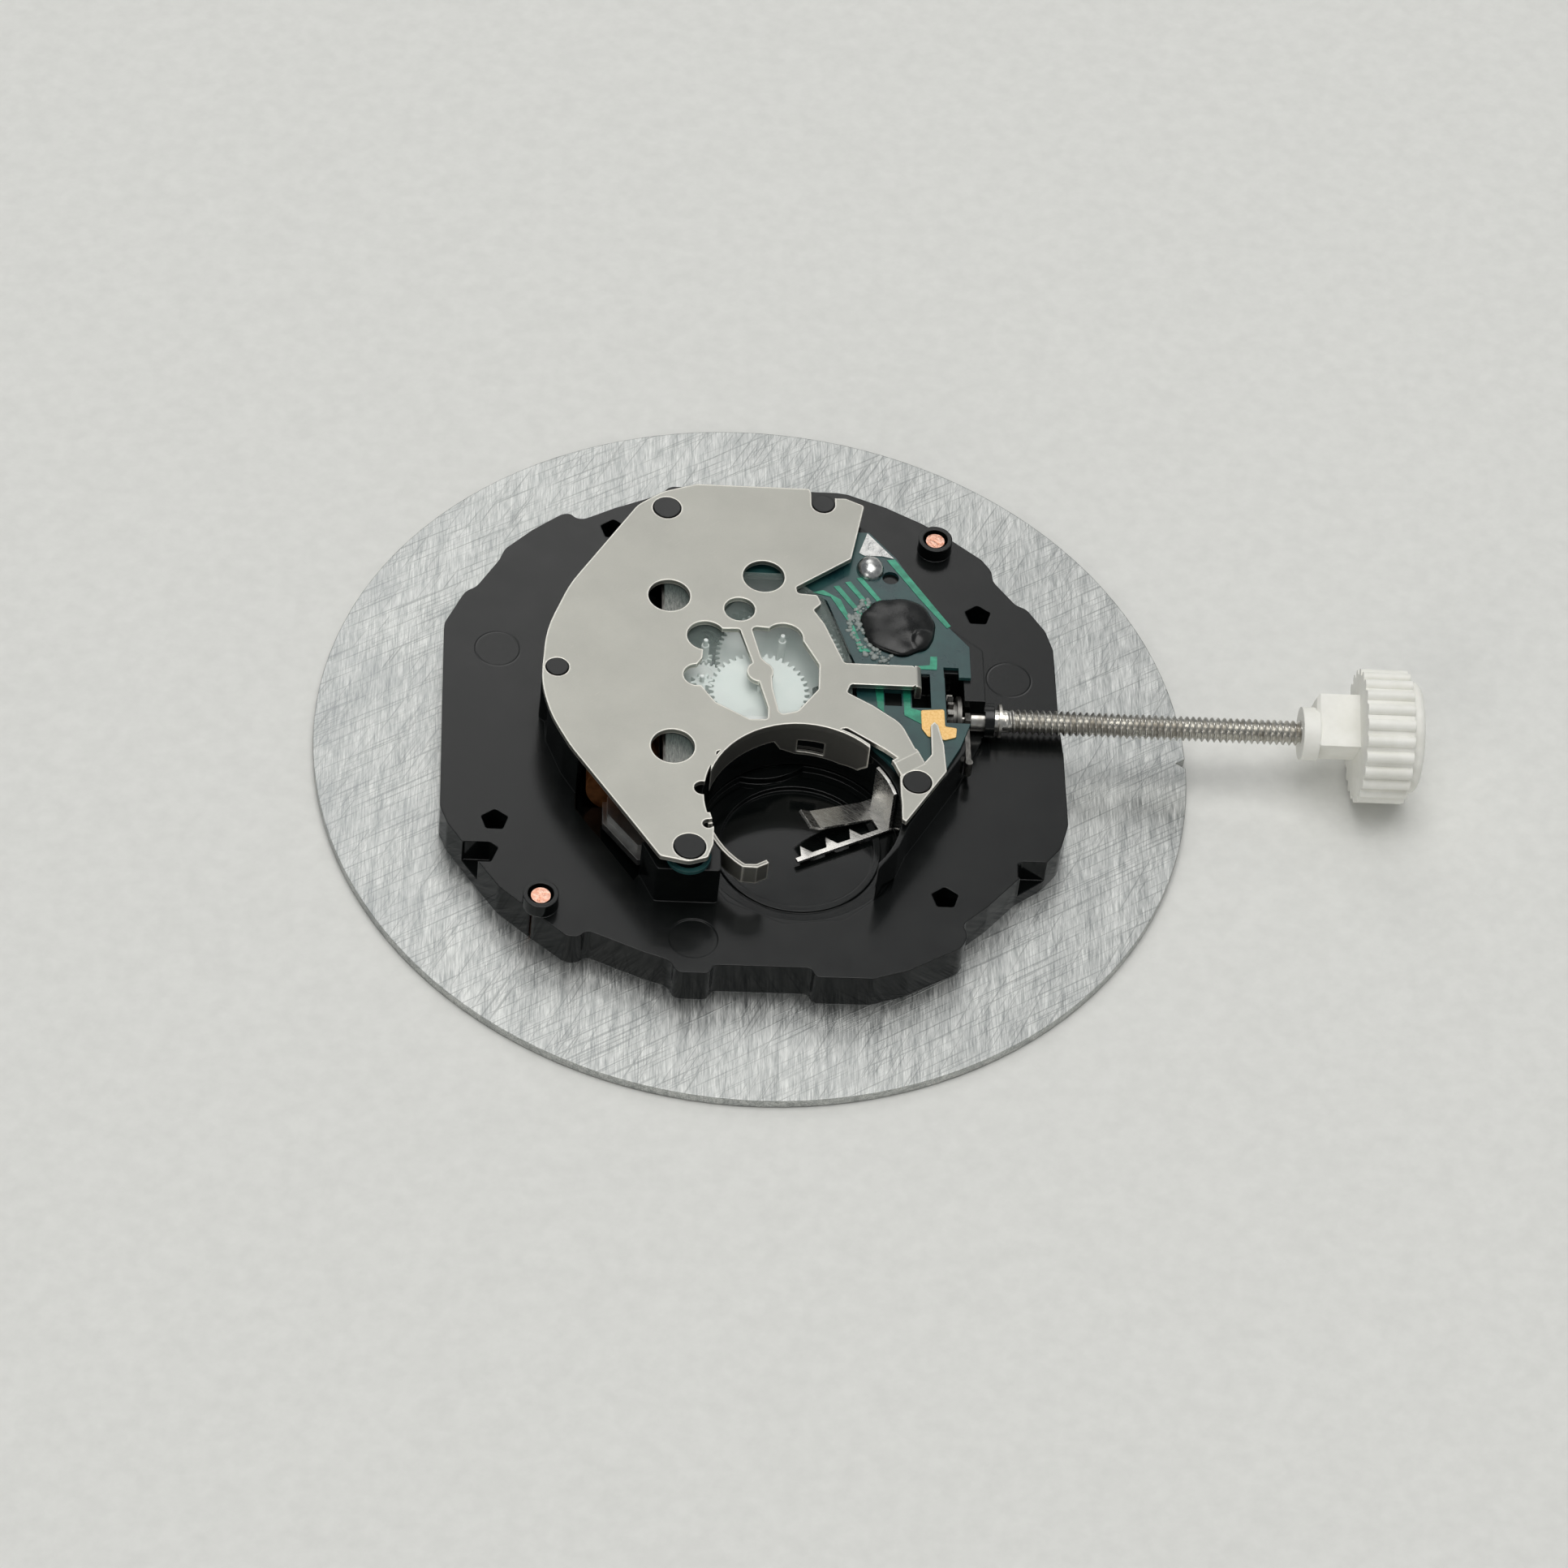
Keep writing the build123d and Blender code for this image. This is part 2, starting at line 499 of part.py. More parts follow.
def main_plate():
    plate = rounded(flange_outline(), FLANGE_CORNER, 0, FLANGE_TOP)
    plate += rounded(block_outline(), BLOCK_CORNER, FLANGE_TOP, BLOCK_TOP)
    plate += along_x(0.62, 8.0, 8.45) & box((8, -1, FLANGE_TOP), (9, 1, BLOCK_TOP))
    plate -= train_cavity() + coil_room()
    plate -= well_room()
    plate += cylinder(LIP_R, TRAIN_FLOOR, TRAIN_FLOOR + LIP_HEIGHT, WELL) - cylinder(
        LIP_R - LIP_WIDTH, TRAIN_FLOOR, TRAIN_FLOOR + LIP_HEIGHT, WELL)
    plate -= motion_room() + stem_room() + flange_holes()
    plate -= cylinder(WEB_HOLE_R, 0, 1.2)
    plate -= cylinder(PIVOT_HOLE_R, 0.76, 1.2, THIRD_AT)
    plate -= box((5.4, -0.65, 2.2), (6.08, 1.0, BLOCK_TOP)) + crystal_room()
    for place in FEET:
        plate += cylinder(FOOT_BOSS_R, FLANGE_TOP, FOOT_BOSS_TOP, place)
        plate -= cylinder(FOOT_BORE_R, 0, FOOT_BOSS_TOP, place)
    plate += posts()
    for x, low in ((MINUTE_X, 0.1), (SET_X, 0.3), (CORRECTOR_X, 0.2)):
        plate += cylinder(0.16, low, MOTION_TOP + 0.05, (x, 0))
    plate += cylinder(0.16, 0.7, 1.44, (CORRECTOR_X, 0)) + cylinder(0.5, 1.36, 1.6, (CORRECTOR_X, 0))
    return plate


def middle_bridge():
    """The plate over the centre wheel that carries the lower pivots of rotor and fifth wheel."""
    bridge = cylinder(1.85, *MIDDLE_Z) + cylinder(2.3, *MIDDLE_Z, THIRD_AT)
    bridge += cylinder(1.55, *MIDDLE_Z, FIFTH_AT) + cylinder(1.22, *MIDDLE_Z, ROTOR_AT)
    bridge -= cylinder(0.5, *MIDDLE_Z) + cylinder(0.5, *MIDDLE_Z, THIRD_AT)
    bridge -= cylinder(WELL_R + 0.03, *MIDDLE_Z, WELL)
    for place in (ROTOR_AT, FIFTH_AT):
        bridge -= cylinder(PIVOT_HOLE_R, *MIDDLE_Z, place)
    return bridge & prism([(-3.4, -3), (4, -3), (4, 6), (-3.4, 6)], *MIDDLE_Z)


def train_bridge():
    """The clear plate that carries the upper pivots, with a low ring round each."""
    bridge = rounded(bridge_outline(), BLOCK_CORNER, BLOCK_TOP, BRIDGE_TOP)
    bridge -= cylinder(WELL_R + 0.06, BLOCK_TOP, BRIDGE_TOP, WELL)
    for place in (THIRD_AT, FIFTH_AT, ROTOR_AT):
        bridge += cylinder(0.36, BRIDGE_TOP, BRIDGE_TOP + 0.03, place)
        bridge -= cylinder(0.26, BRIDGE_TOP, BRIDGE_TOP + 0.03, place)
    for place in (THIRD_AT, FIFTH_AT, ROTOR_AT, (0, 0)):
        bridge -= cylinder(PIVOT_HOLE_R, BLOCK_TOP, BRIDGE_TOP, place)
    return bridge


def board_outline():
    return [(-2.4, 5.45), (1.1, 5.45), (2.5, 4.25), (3.45, 1.25), (3.45, -0.4), (3.5, -2.1), (4.3, -3.0),
            (4.85, -3.72), (6.35, -3.72), (7.05, -2.4), (7.55, -1.0), (7.55, 2.3), (6.83, 3.23),
            (5.98, 4.63), (5.08, 6.43), (4.12, 7.65), (3.1, 7.65), (2.7, 6.43), (-2.4, 6.43)]


def circuit_board():
    low, high = BLOCK_TOP, BLOCK_TOP + BOARD_THICK
    board = prism(board_outline(), low, high)
    board -= cylinder(0.3, low, high, (4.83, 5.48))
    board -= box((5.4, -0.65, low), (6.08, 0.95, high)) + box((4.43, -0.6, low), (5.04, 0.1, high))
    board -= box((6.6, -1.3, low), (7.6, 0.85, high)) + box((6.58, 0.8, low), (7.12, 1.3, high))
    return board - cylinder(WELL_R + 0.1, low, high, WELL)


def chip_resin():
    """The domed drop of resin over the chip."""
    top = BLOCK_TOP + BOARD_THICK
    ball = Pos(5.05, 3.1, top - 2.2) * Sphere(2.65)
    return ball & cylinder(1.5, top, top + 1, (5.05, 3.1))


def quartz_crystal():
    """The tuning-fork can, lying on the plate under the cover, beside the board."""
    return lying(CRYSTAL_R, CRYSTAL_FROM, CRYSTAL_TO, CRYSTAL_Z)


def crystal_room():
    """The open trough that the can lies in."""
    length = distance(CRYSTAL_FROM, CRYSTAL_TO)
    half = CRYSTAL_R + 0.04
    trough = box((-0.05, -half, -half), (length + 0.05, half, 1))
    return Pos(*CRYSTAL_FROM, CRYSTAL_Z) * Rot(0, 0, heading(CRYSTAL_FROM, CRYSTAL_TO)) * trough


def board_solder():
    """The domed joint and the tinned corner beside it."""
    top = BLOCK_TOP + BOARD_THICK
    dome = Pos(4.1, 5.85, top) * scale(Sphere(0.5), by=(1, 1.1, 0.8))
    tinned = prism([(4.05, 7.6), (3.72, 6.62), (3.9, 6.5), (4.55, 6.5), (4.98, 6.4)], top, top + 0.03)
    return [dome & box((3, 4.5, top), (5.2, 6.6, top + 1)), tinned]


def contact_pad():
    """The gilt pad that the cover's finger presses on."""
    low = BLOCK_TOP + BOARD_THICK
    return rounded([(5.7, -0.8), (6.53, -0.72), (6.53, -1.52), (6.95, -1.57), (6.9, -2.0), (6.5, -2.14),
                    (5.9, -2.0), (5.7, -1.65)], PAD_CORNER, low, low + 0.05)


# ---- cover ----

def cover_points():
    """The cover's edge. Its long curve on the coil side has its own large radius."""
    bulge, waist = COVER_BULGE_R, COVER_WAIST_R
    return [(-2.17, 9.28), (1.95, 9.28), (2.05, 8.85), (3.25, 8.87), (3.92, 8.55), (3.38, 5.95), (1.35, 4.45),
            (1.4, 4.15), (2.1, 4.1), (2.25, 3.7), (1.95, 3.4), (2.33, 2.75), (3.0, 0.92), (5.5, 0.92),
            (5.5, -0.05), (3.2, -0.05), (3.05, -0.45), (3.93, -1.0, waist), (4.93, -1.8, waist), (5.43, -3.05),
            (4.83, -3.45), (4.3, -3.0), (3.0, -2.1), (-1.6, -3.4), (-1.75, -7.6), (-1.95, -8.2), (-2.6, -8.42, 0.5),
            (-3.6, -8.2, 0.2), (-4.3, -7.1),
            (-6.67, -3.45, bulge), (-7.37, -2.05, bulge), (-7.74, -0.5, bulge), (-7.57, 1.95, bulge),
            (-6.75, 4.15, bulge), (-4.3, 8.15, waist), (-3.37, 8.85, waist)]


def corner_points():
    return [(4.83, -4.05), (5.55, -3.55), (5.78, -3.3), (5.98, -3.0), (6.0, -1.65), (6.13, -1.5), (6.26, -1.65),
            (6.43, -2.55), (6.48, -3.75), (4.98, -6.1), (4.85, -6.0)]


def windows():
    """The two kidney-shaped openings over the train, with a round boss between them."""
    left = rounded([(-2.5, 0.2), (-1.6, -1.15), (-0.4, -1.88), (0.22, -1.85), (0.25, -1.3), (-0.1, 0.1), (-0.3, 0.9),
                    (-0.7, 2.35), (-1.9, 2.3), (-2.05, 0.9)], COVER_CORNER, COVER_UNDER, COVER_TOP)
    left += cylinder(0.68, COVER_UNDER, COVER_TOP, (-1.9, 1.96))
    left += cylinder(0.5, COVER_UNDER, COVER_TOP, (-2.22, 0.1))
    right = rounded([(-0.3, 2.5), (0.85, 2.4), (1.55, 1.9), (2.1, 0.8), (2.05, -0.35), (1.3, -1.4), (0.65, -1.62),
                     (0.42, -0.35), (0.4, 0.55), (0.05, 1.0)], WINDOW_CORNER, COVER_UNDER, COVER_TOP)
    right += cylinder(0.68, COVER_UNDER, COVER_TOP, (0.87, 2.0))
    return left + right - cylinder(CENTRE_BOSS_R, COVER_UNDER, COVER_TOP, CENTRE_BOSS)


def cover_tab():
    """The tongue's end, bent down beside the stem."""
    tab = box((5.5, -0.05, 3.2), (5.73, 0.92, COVER_TOP))
    bend = tab.edges().filter_by(Axis.Y).sort_by(lambda edge: edge.center().X + edge.center().Z)[-1]
    return fillet(bend, 0.18)


def corner_step():
    """The crease that lowers the contact corner."""
    along = heading((4.53, -3.65), (5.43, -3.05))
    section = [(0, 0), (0.42, -CORNER_DROP), (0.6, -CORNER_DROP), (0.6, COVER_THICK - CORNER_DROP),
               (0.5, COVER_THICK - CORNER_DROP), (0.05, COVER_THICK), (-0.1, COVER_THICK), (-0.1, 0)]
    face = make_face(Polyline(section, close=True))
    bar = extrude(face, -1.05)
    return Pos(4.6, -3.6, COVER_UNDER) * Rot(0, 0, along - 90) * Rot(90, 0, 0) * bar


def well_skirt():
    """The band bent down from the cover along the far wall of the cell well, deeper on the right."""
    ring = cylinder(WELL_R - SHEET_GAP, 1.5, COVER_TOP, WELL) - cylinder(WELL_R - 0.14, 1.5, COVER_TOP, WELL)
    side = [(-1.8, 2.75), (0.5, 2.95), (0.75, 2.5), (1.3, 2.2), (2.9, 2.15), (3.5, 2.3), (3.8, 2.8),
            (3.8, COVER_TOP), (-1.8, COVER_TOP)]
    window = [(1.35, 2.35), (2.3, 2.3), (2.3, 2.95), (1.35, 2.95)]
    near, far = WELL[1], WELL[1] + 4
    return ring & sheet_strip(side, near, far) - sheet_strip(window, near, far)


def cell_arm():
    """The cover's spring arm that stands on edge round the well and touches the cell's side."""
    low, high = 2.45, 3.3
    ring = cylinder(WELL_R - SHEET_GAP, low, high, WELL) - cylinder(WELL_R - 0.17, low, high, WELL)
    sector = [WELL]
    for angle in range(197, 234, 6):
        sector.append((WELL[0] + 5 * cos(radians(angle)), WELL[1] + 5 * sin(radians(angle))))
    ring = ring & prism(sector, low, high)
    hook = prism([(-0.73, -8.11), (-0.21, -8.13), (0.2, -7.9), (0.12, -7.77), (-0.24, -7.98), (-0.63, -7.99)],
                 low, high)
    link = prism([(-2.3, -6.2), (-1.85, -6.2), (-1.78, -6.48), (-2.25, -6.48)], COVER_UNDER, COVER_TOP)
    foot = prism([(-2.0, -6.2), (-1.85, -6.2), (-1.75, -6.52), (-1.9, -6.55)], high - 0.3, COVER_UNDER)
    return ring + hook + link + foot


def cover_plate():
    cover = rounded(cover_points(), COVER_CORNER, COVER_UNDER, COVER_TOP)
    cover -= cylinder(COVER_CUT_R, COVER_UNDER, COVER_TOP, WELL)
    for place, radius in WELL_NOTCHES.items():
        cover -= cylinder(radius, COVER_UNDER, COVER_TOP, place)
    corner = prism(corner_points(), COVER_UNDER - CORNER_DROP, COVER_TOP - CORNER_DROP)
    corner -= cylinder(COVER_CUT_R, 3, 4, WELL)
    cover += corner + corner_step() + cover_tab()
    cover -= cylinder(CORNER_POST_R, 3, 4, CORNER_POST)
    for place, radius in {**POSTS, **SIGHT_HOLES}.items():
        cover -= cylinder(radius, COVER_UNDER, COVER_TOP, place)
    cover -= box((2.0, 8.55, COVER_UNDER), (2.86, 9.5, COVER_TOP))
    return cover - windows() + well_skirt() + cell_arm()


# ---- cell contact ----

def contact_frame():
    """The contact's own frame, at the foot of its wall strip, with +X along the leaf."""
    root = (4.42, -3.45)
    return Pos(*root, 0) * Rot(0, 0, heading(root, (1.58, -4.85)))


def negative_contact():
    """The strip on the well's wall, its rising leaf, and the toothed strip beside the leaf."""
    wall = (cylinder(WELL_R - 0.04, 1.2, 3.2, WELL) - cylinder(WELL_R - 0.16, 1.2, 3.2, WELL)) & prism(
        [WELL, (6.5, -4.05), (6.5, -1.5)], 1.2, 3.2)
    leaf = sheet_strip([(0.05, 1.2), (0.6, 1.2), (2.75, 1.72), (3.15, 2.0), (3.08, 2.08), (2.7, 1.82),
                        (0.6, 1.3), (0.05, 1.3)], -0.42, 0.42)
    strip = box((0.05, 0.92, 1.2), (3.9, 1.1, 1.3)) + box((0.05, -0.42, 1.2), (0.6, 1.1, 1.3))
    for x in (1.5, 2.45, 3.45):
        strip += prism([(x - 0.24, 0.95), (x + 0.24, 0.95), (x + 0.05, 0.5)], 1.2, 1.3)
    return wall + contact_frame() * (leaf + strip)


# ---- stem group ----

def thread_profile():
    """Half the section of the screw, a row of V grooves, as points in x and radius."""
    points = [(THREAD_FROM, 0)]
    count = int((THREAD_TO - THREAD_FROM) / THREAD_PITCH)
    for turn in range(count):
        x = THREAD_FROM + turn * THREAD_PITCH
        points.append((x, THREAD_R - THREAD_DEPTH))
        points.append((x + THREAD_PITCH / 2, THREAD_R))
    points.append((THREAD_TO, THREAD_R - THREAD_DEPTH))
    points.append((THREAD_TO, 0))
    return points


def setting_stem():
    smooth = along_x(STEM_BEARING_R, GROOVE_X[1], THREAD_FROM)
    collar = along_x(0.6, *STEM_COLLAR_X)
    groove = along_x(0.22, *GROOVE_X)
    half = SQUARE / 2
    square = box((SQUARE_X[0], -half, STEM_Z - half), (SQUARE_X[1], half, STEM_Z + half))
    pilot = along_x(0.15, STEM_TIP, SQUARE_X[0])
    face = make_face(Polyline(thread_profile(), close=True))
    screw = Pos(0, 0, STEM_Z) * revolve(face, Axis.X)
    return smooth + collar + groove + square + pilot + screw


def clutch_wheel():
    """The toothed sleeve on the stem's square."""
    teeth = toothed_ring(14, 0.11, 0, 0.2)
    hub = cylinder(0.62, 0, CLUTCH_X[1] - CLUTCH_X[0]) + cylinder(0.82, 0.35, 0.5)
    hole = Box(SQUARE + 0.06, SQUARE + 0.06, 4)
    return Pos(CLUTCH_X[0], 0, STEM_Z) * Rot(0, 90, 0) * (teeth + hub - hole)


def crown():
    """The knurled plastic crown screwed on the stem for fitting and setting the hands."""
    x = THREAD_TO
    block = Box(*CROWN_BLOCK)
    block = chamfer(block.faces().sort_by(Axis.X)[0].edges(), 0.12)
    block = Rot(CROWN_BLOCK_TILT, 0, 0) * Pos(0, CROWN_BLOCK_SHIFT, 0) * block
    hub = along_x(CROWN_BOSS_R, x, x + CROWN_BOSS_TO) + Pos(x + CROWN_BLOCK_MIDDLE, 0, STEM_Z) * block
    head = Circle(CROWN_HEAD_R - SPLINE_R)
    for spline in PolarLocations(CROWN_HEAD_R - SPLINE_R, CROWN_SPLINES):
        head += spline * Circle(SPLINE_R)
    rim = Pos(x + CROWN_HEAD_FROM, 0, STEM_Z) * Rot(0, 90, 0) * extrude(head, CROWN_HEAD_TO - CROWN_HEAD_FROM)
    end = along_x(CROWN_END_R, x + CROWN_HEAD_TO - 0.05, x + CROWN_TO)
    end = fillet(end.edges().filter_by(GeomType.CIRCLE).sort_by(Axis.X)[-1], 0.25)
    return hub + rim + end


def setting_lever():
    """The lever that a groove in the stem swings."""
    low, high = LEVER_Z
    arm = box((LEVER_X[0], LEVER_PIVOT[1], low), (LEVER_X[1], -0.24, high))
    finger = box((LEVER_X[0], -0.6, low), (LEVER_X[1], -0.24, 2.75))
    hub = cylinder(0.13, low, 2.5, LEVER_PIVOT)
    return arm + finger + hub


PARTS = {
    "dial_disc": dial_disc,
    "dial_feet": dial_feet,
    "main_plate": main_plate,
    "middle_bridge": middle_bridge,
    "train_bridge": train_bridge,
    "cover_plate": cover_plate,
    "circuit_board": circuit_board,
    "chip_resin": chip_resin,
    "quartz_crystal": quartz_crystal,
    "board_solder": board_solder,
    "contact_pad": contact_pad,
    "coil_winding": coil_winding,
    "coil_core": coil_core,
    "coil_terminal_board": coil_terminal_board,
    "coil_solder": coil_solder,
    "stator": stator,
    "rotor_magnet": rotor_magnet,
    "rotor_pinion": rotor_pinion,
    "fifth_wheel": fifth_wheel,
    "fourth_wheel": fourth_wheel,
    "third_wheel": third_wheel,
    "centre_wheel": centre_wheel,
    "cannon_pinion": cannon_pinion,
    "minute_wheel": minute_wheel,
    "hour_wheel": hour_wheel,
    "dial_washer": dial_washer,
    "setting_wheel": setting_wheel,
    "corrector_wheel": corrector_wheel,
    "negative_contact": negative_contact,
    "clutch_wheel": clutch_wheel,
    "setting_stem": setting_stem,
    "setting_lever": setting_lever,
    "crown": crown,
}

os.makedirs("parts", exist_ok=True)
for name, make in PARTS.items():
    shape = make()
    if isinstance(shape, list):
        shape = Compound(children=shape)
    export_step(shape, f"parts/{name}.step")
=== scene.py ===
import math
import random

import bmesh
import bpy
from mathutils import Matrix, Vector, noise


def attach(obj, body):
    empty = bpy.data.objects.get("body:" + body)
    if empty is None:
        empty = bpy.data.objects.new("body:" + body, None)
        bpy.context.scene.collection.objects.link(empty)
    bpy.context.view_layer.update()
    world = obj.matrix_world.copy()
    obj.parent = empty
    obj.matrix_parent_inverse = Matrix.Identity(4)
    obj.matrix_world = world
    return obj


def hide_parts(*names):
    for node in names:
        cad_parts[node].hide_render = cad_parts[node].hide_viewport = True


# Looks of a quartz watch movement that lies on its dial disc. Lengths are in millimetres until they
# reach Blender, which works in metres. Only the lamps' places and sides are given in metres.
MM = 0.001

# ---- camera ----
CAMERA_TURN = -6.82         # degrees about Z, from looking along +Y
CAMERA_RISE = 49.628        # degrees above the horizon
CAMERA_ROLL = -7.4545       # degrees
CAMERA_OFFSET = (-1.149, -1.224, 199.237)   # the origin seen from the camera: right, down, away
LENS = 127.86
SENSOR = 36.0

# ---- heights that the CAD part also has ----
DISC_UNDER = -0.35
PLATE_TOP = 3.25
BOARD_TOP = 3.4
SKIRT_TOP = 3.65        # the cover's sides are rougher below this and darkened by painted shade
STEM_Z = 2.1

# ---- stem ----
STEM_TIP = 5.95
SQUARE_FROM, SQUARE_TO = 6.66, 7.3
SQUARE_HALF = 0.25
GROOVE_TO = 7.62
COLLAR_FROM, COLLAR_TO = 8.62, 8.72
THREAD_FROM, THREAD_TO = 8.85, 19.5
THREAD_PITCH = 0.225
THREAD_ROOT, THREAD_CREST = 0.33, 0.45
THREAD_FLAT = 0.12          # share of half a turn that is flat, at the crest and again at the root
THREAD_STEPS = 10           # stations in one turn
THREAD_FADE = 2             # turns over which the thread grows to its full depth
PILOT_R, GROOVE_R, BEARING_R, COLLAR_R = 0.15, 0.22, 0.40, 0.60

# ---- coil ----
COIL_X, COIL_Z = -4.75, 1.95
COIL_R, COIL_HALF = 1.3, 3.7
COIL_BORE = (0.55, 0.2)     # half the width and half the height of the hole for the core
WIRE = 0.13

# ---- resin and flux ----
CHIP = (5.05, 3.1)
RESIN_R, RESIN_RISE = 1.44, 0.288
RESIN_LUMP, LUMPS_PER_MM = 0.06, 1.3
RESIN_RAGGED = 0.09         # how far the rim wanders, as a share of its radius
LENS_AT, LENS_R, LENS_RISE = (6.0, 2.35), 0.52, 0.16
FLUX_BEADS, BEAD_SIDES = 90, 7
BEAD_RINGS = ((1.0, -0.02), (0.8, 0.6), (0.4, 0.95))    # radius and height, as shares of the bead's

# ---- lamps: place, side, watts and colour ----
NEUTRAL, WARM = (1.0, 0.99, 0.97), (1.0, 0.97, 0.93)
LAMPS = {
    "top_light": ((0.02, 0.03, 0.8), 0.62, 3.8, NEUTRAL),
    "back_light": ((-0.1, 1.05, 0.86), 0.56, 1.9, NEUTRAL),
    "front_light": ((-0.45, -0.7, 0.42), 0.4, 1.1, WARM),
}
SKY_COLOUR, SKY_STRENGTH = (0.93, 0.97, 1.0, 1), 0.26

# ---- floor ----
FLOOR_HALF = 600.0
FLOOR_HOLE_R = 5.0
FLOOR_DROP = 0.05


def tone(red, green, blue):
    """A display colour, 0 to 255, as the linear colour a shader takes."""
    linear = []
    for value in (red, green, blue):
        share = value / 255
        linear.append(share / 12.92 if share <= 0.04045 else ((share + 0.055) / 1.055) ** 2.4)
    return tuple(linear)


# ---------------------------------------------------------------- materials

class Finish:
    """A procedural material round one Principled shader, with its patterns in millimetres."""

    def __init__(self, name, colour, roughness, metallic=0.0, **sockets):
        self.material = bpy.data.materials.new(name)
        self.material.use_nodes = True
        self.tree = self.material.node_tree
        self.shader = self.tree.nodes["Principled BSDF"]
        self.shader.inputs["Base Color"].default_value = (*colour, 1)
        self.shader.inputs["Roughness"].default_value = roughness
        self.shader.inputs["Metallic"].default_value = metallic
        for socket, value in sockets.items():
            self.shader.inputs[socket.replace("_", " ")].default_value = value
        self.normal = None

    def node(self, kind, inputs=(), **settings):
        made = self.tree.nodes.new(kind)
        for name, value in settings.items():
            setattr(made, name, value)
        for socket, value in dict(inputs).items():
            self.join(value, made.inputs[socket])
        return made

    def join(self, value, socket):
        """Links a socket, or sets its value when value isn't a socket."""
        if isinstance(value, bpy.types.NodeSocket):
            self.tree.links.new(value, socket)
        else:
            socket.default_value = value

    def place(self, stretch=(1, 1, 1), turn=0):
        """Object coordinates in millimetres, turned about Z and stretched."""
        coordinates = self.node("ShaderNodeTexCoord").outputs["Object"]
        turned = self.node("ShaderNodeMapping", {"Vector": coordinates,
                                                 "Rotation": (0, 0, math.radians(turn))})
        scale = [1 / (MM * length) for length in stretch]
        return self.node("ShaderNodeMapping", {"Vector": turned.outputs[0], "Scale": scale}).outputs[0]

    def noise(self, size, detail=3.0, stretch=(1, 1, 1), turn=0):
        """Noise whose grains are about size long, longer where stretched."""
        vector = self.place(stretch, turn)
        inputs = {"Vector": vector, "Scale": 1 / size, "Detail": detail, "Roughness": 0.6}
        return self.node("ShaderNodeTexNoise", inputs).outputs["Fac"]

    def span(self, value, low, high, new_low=0.0, new_high=1.0):
        inputs = {"Value": value, "From Min": low, "From Max": high, "To Min": new_low, "To Max": new_high}
        return self.node("ShaderNodeMapRange", inputs).outputs["Result"]

    def math(self, operation, first, second=0.0):
        return self.node("ShaderNodeMath", {0: first, 1: second}, operation=operation).outputs[0]

    def blend(self, share, first, second):
        """A colour between two colours or colour sockets."""
        made = self.node("ShaderNodeMix", {"Factor": share}, data_type="RGBA")
        for value, socket in ((first, made.inputs[6]), (second, made.inputs[7])):
            self.join(value if isinstance(value, bpy.types.NodeSocket) else (*value, 1), socket)
        return made.outputs[2]

    def colour(self, socket):
        self.tree.links.new(socket, self.shader.inputs["Base Color"])

    def rough(self, socket):
        self.tree.links.new(socket, self.shader.inputs["Roughness"])

    def round_edges(self, radius):
        """Light catches the edges as if they had this radius."""
        self.set_normal(self.node("ShaderNodeBevel", {"Radius": radius * MM}, samples=6).outputs[0])

    def corner_highlight_mask(self, radius):
        """How near a corner the surface is: 0 on the flats, 1 on the corner itself."""
        soft = self.node("ShaderNodeBevel", {"Radius": radius * MM}, samples=6).outputs[0]
        true = self.node("ShaderNodeNewGeometry").outputs["True Normal"]
        product = self.node("ShaderNodeVectorMath", {0: soft, 1: true}, operation="DOT_PRODUCT")
        return self.span(product.outputs["Value"], 0.995, 0.9)

    def height(self):
        """Millimetres above the dial disc's face."""
        return self.node("ShaderNodeSeparateXYZ", {0: self.place()}).outputs["Z"]

    def bump(self, height, depth, strength=1.0):
        inputs = {"Height": height, "Distance": depth * MM, "Strength": strength}
        if self.normal:
            inputs["Normal"] = self.normal
        self.set_normal(self.node("ShaderNodeBump", inputs).outputs[0])

    def set_normal(self, socket):
        self.normal = socket
        self.tree.links.new(socket, self.shader.inputs["Normal"])


def brushed_disc():
    """Metal brushed along Y, crossed by two families of long scratches, and darker in cloudy patches towards
    the left rim.
    """
    finish = Finish("brushed_disc", tone(206, 208, 206), 0.34, 1.0)
    finish.round_edges(0.04)
    fine = finish.noise(0.05, 2, (1, 14, 1))
    long = finish.noise(0.3, 6, (1, 12, 1), 3)
    crossed = finish.noise(0.085, 2, (56, 1, 1), -32)
    steep = finish.noise(0.08, 2, (1, 50, 1), 28)
    streaks = finish.math("ADD", finish.math("MULTIPLY", fine, 0.55), finish.math("MULTIPLY", long, 0.45))
    scratches = finish.math("MAXIMUM", finish.span(crossed, 0.56, 0.64), finish.span(steep, 0.58, 0.68))
    grey = finish.blend(finish.span(streaks, 0.36, 0.64), tone(154, 157, 156), tone(222, 223, 220))
    grey = finish.blend(finish.math("MULTIPLY", scratches, 0.5), grey, tone(126, 129, 128))
    cloud = finish.span(finish.noise(3.2, 4), 0.35, 0.7)
    leftward = finish.node("ShaderNodeSeparateXYZ", {0: finish.place()}).outputs["X"]
    everywhere = finish.math("MULTIPLY", cloud, 0.15)
    # darker in cloudy patches towards the left rim
    rimward = finish.span(leftward, -8.0, -15.5)
    at_the_left = finish.math("MULTIPLY", rimward, finish.math("MULTIPLY", cloud, 0.35))
    cloud_and_left_darkening = finish.math("ADD", everywhere, at_the_left)
    finish.colour(finish.blend(cloud_and_left_darkening, grey, tone(142, 146, 148)))
    finish.rough(finish.span(streaks, 0.3, 0.7, 0.28, 0.5))
    finish.bump(fine, 0.003)
    finish.bump(long, 0.003)
    finish.bump(scratches, 0.002)
    return finish.material


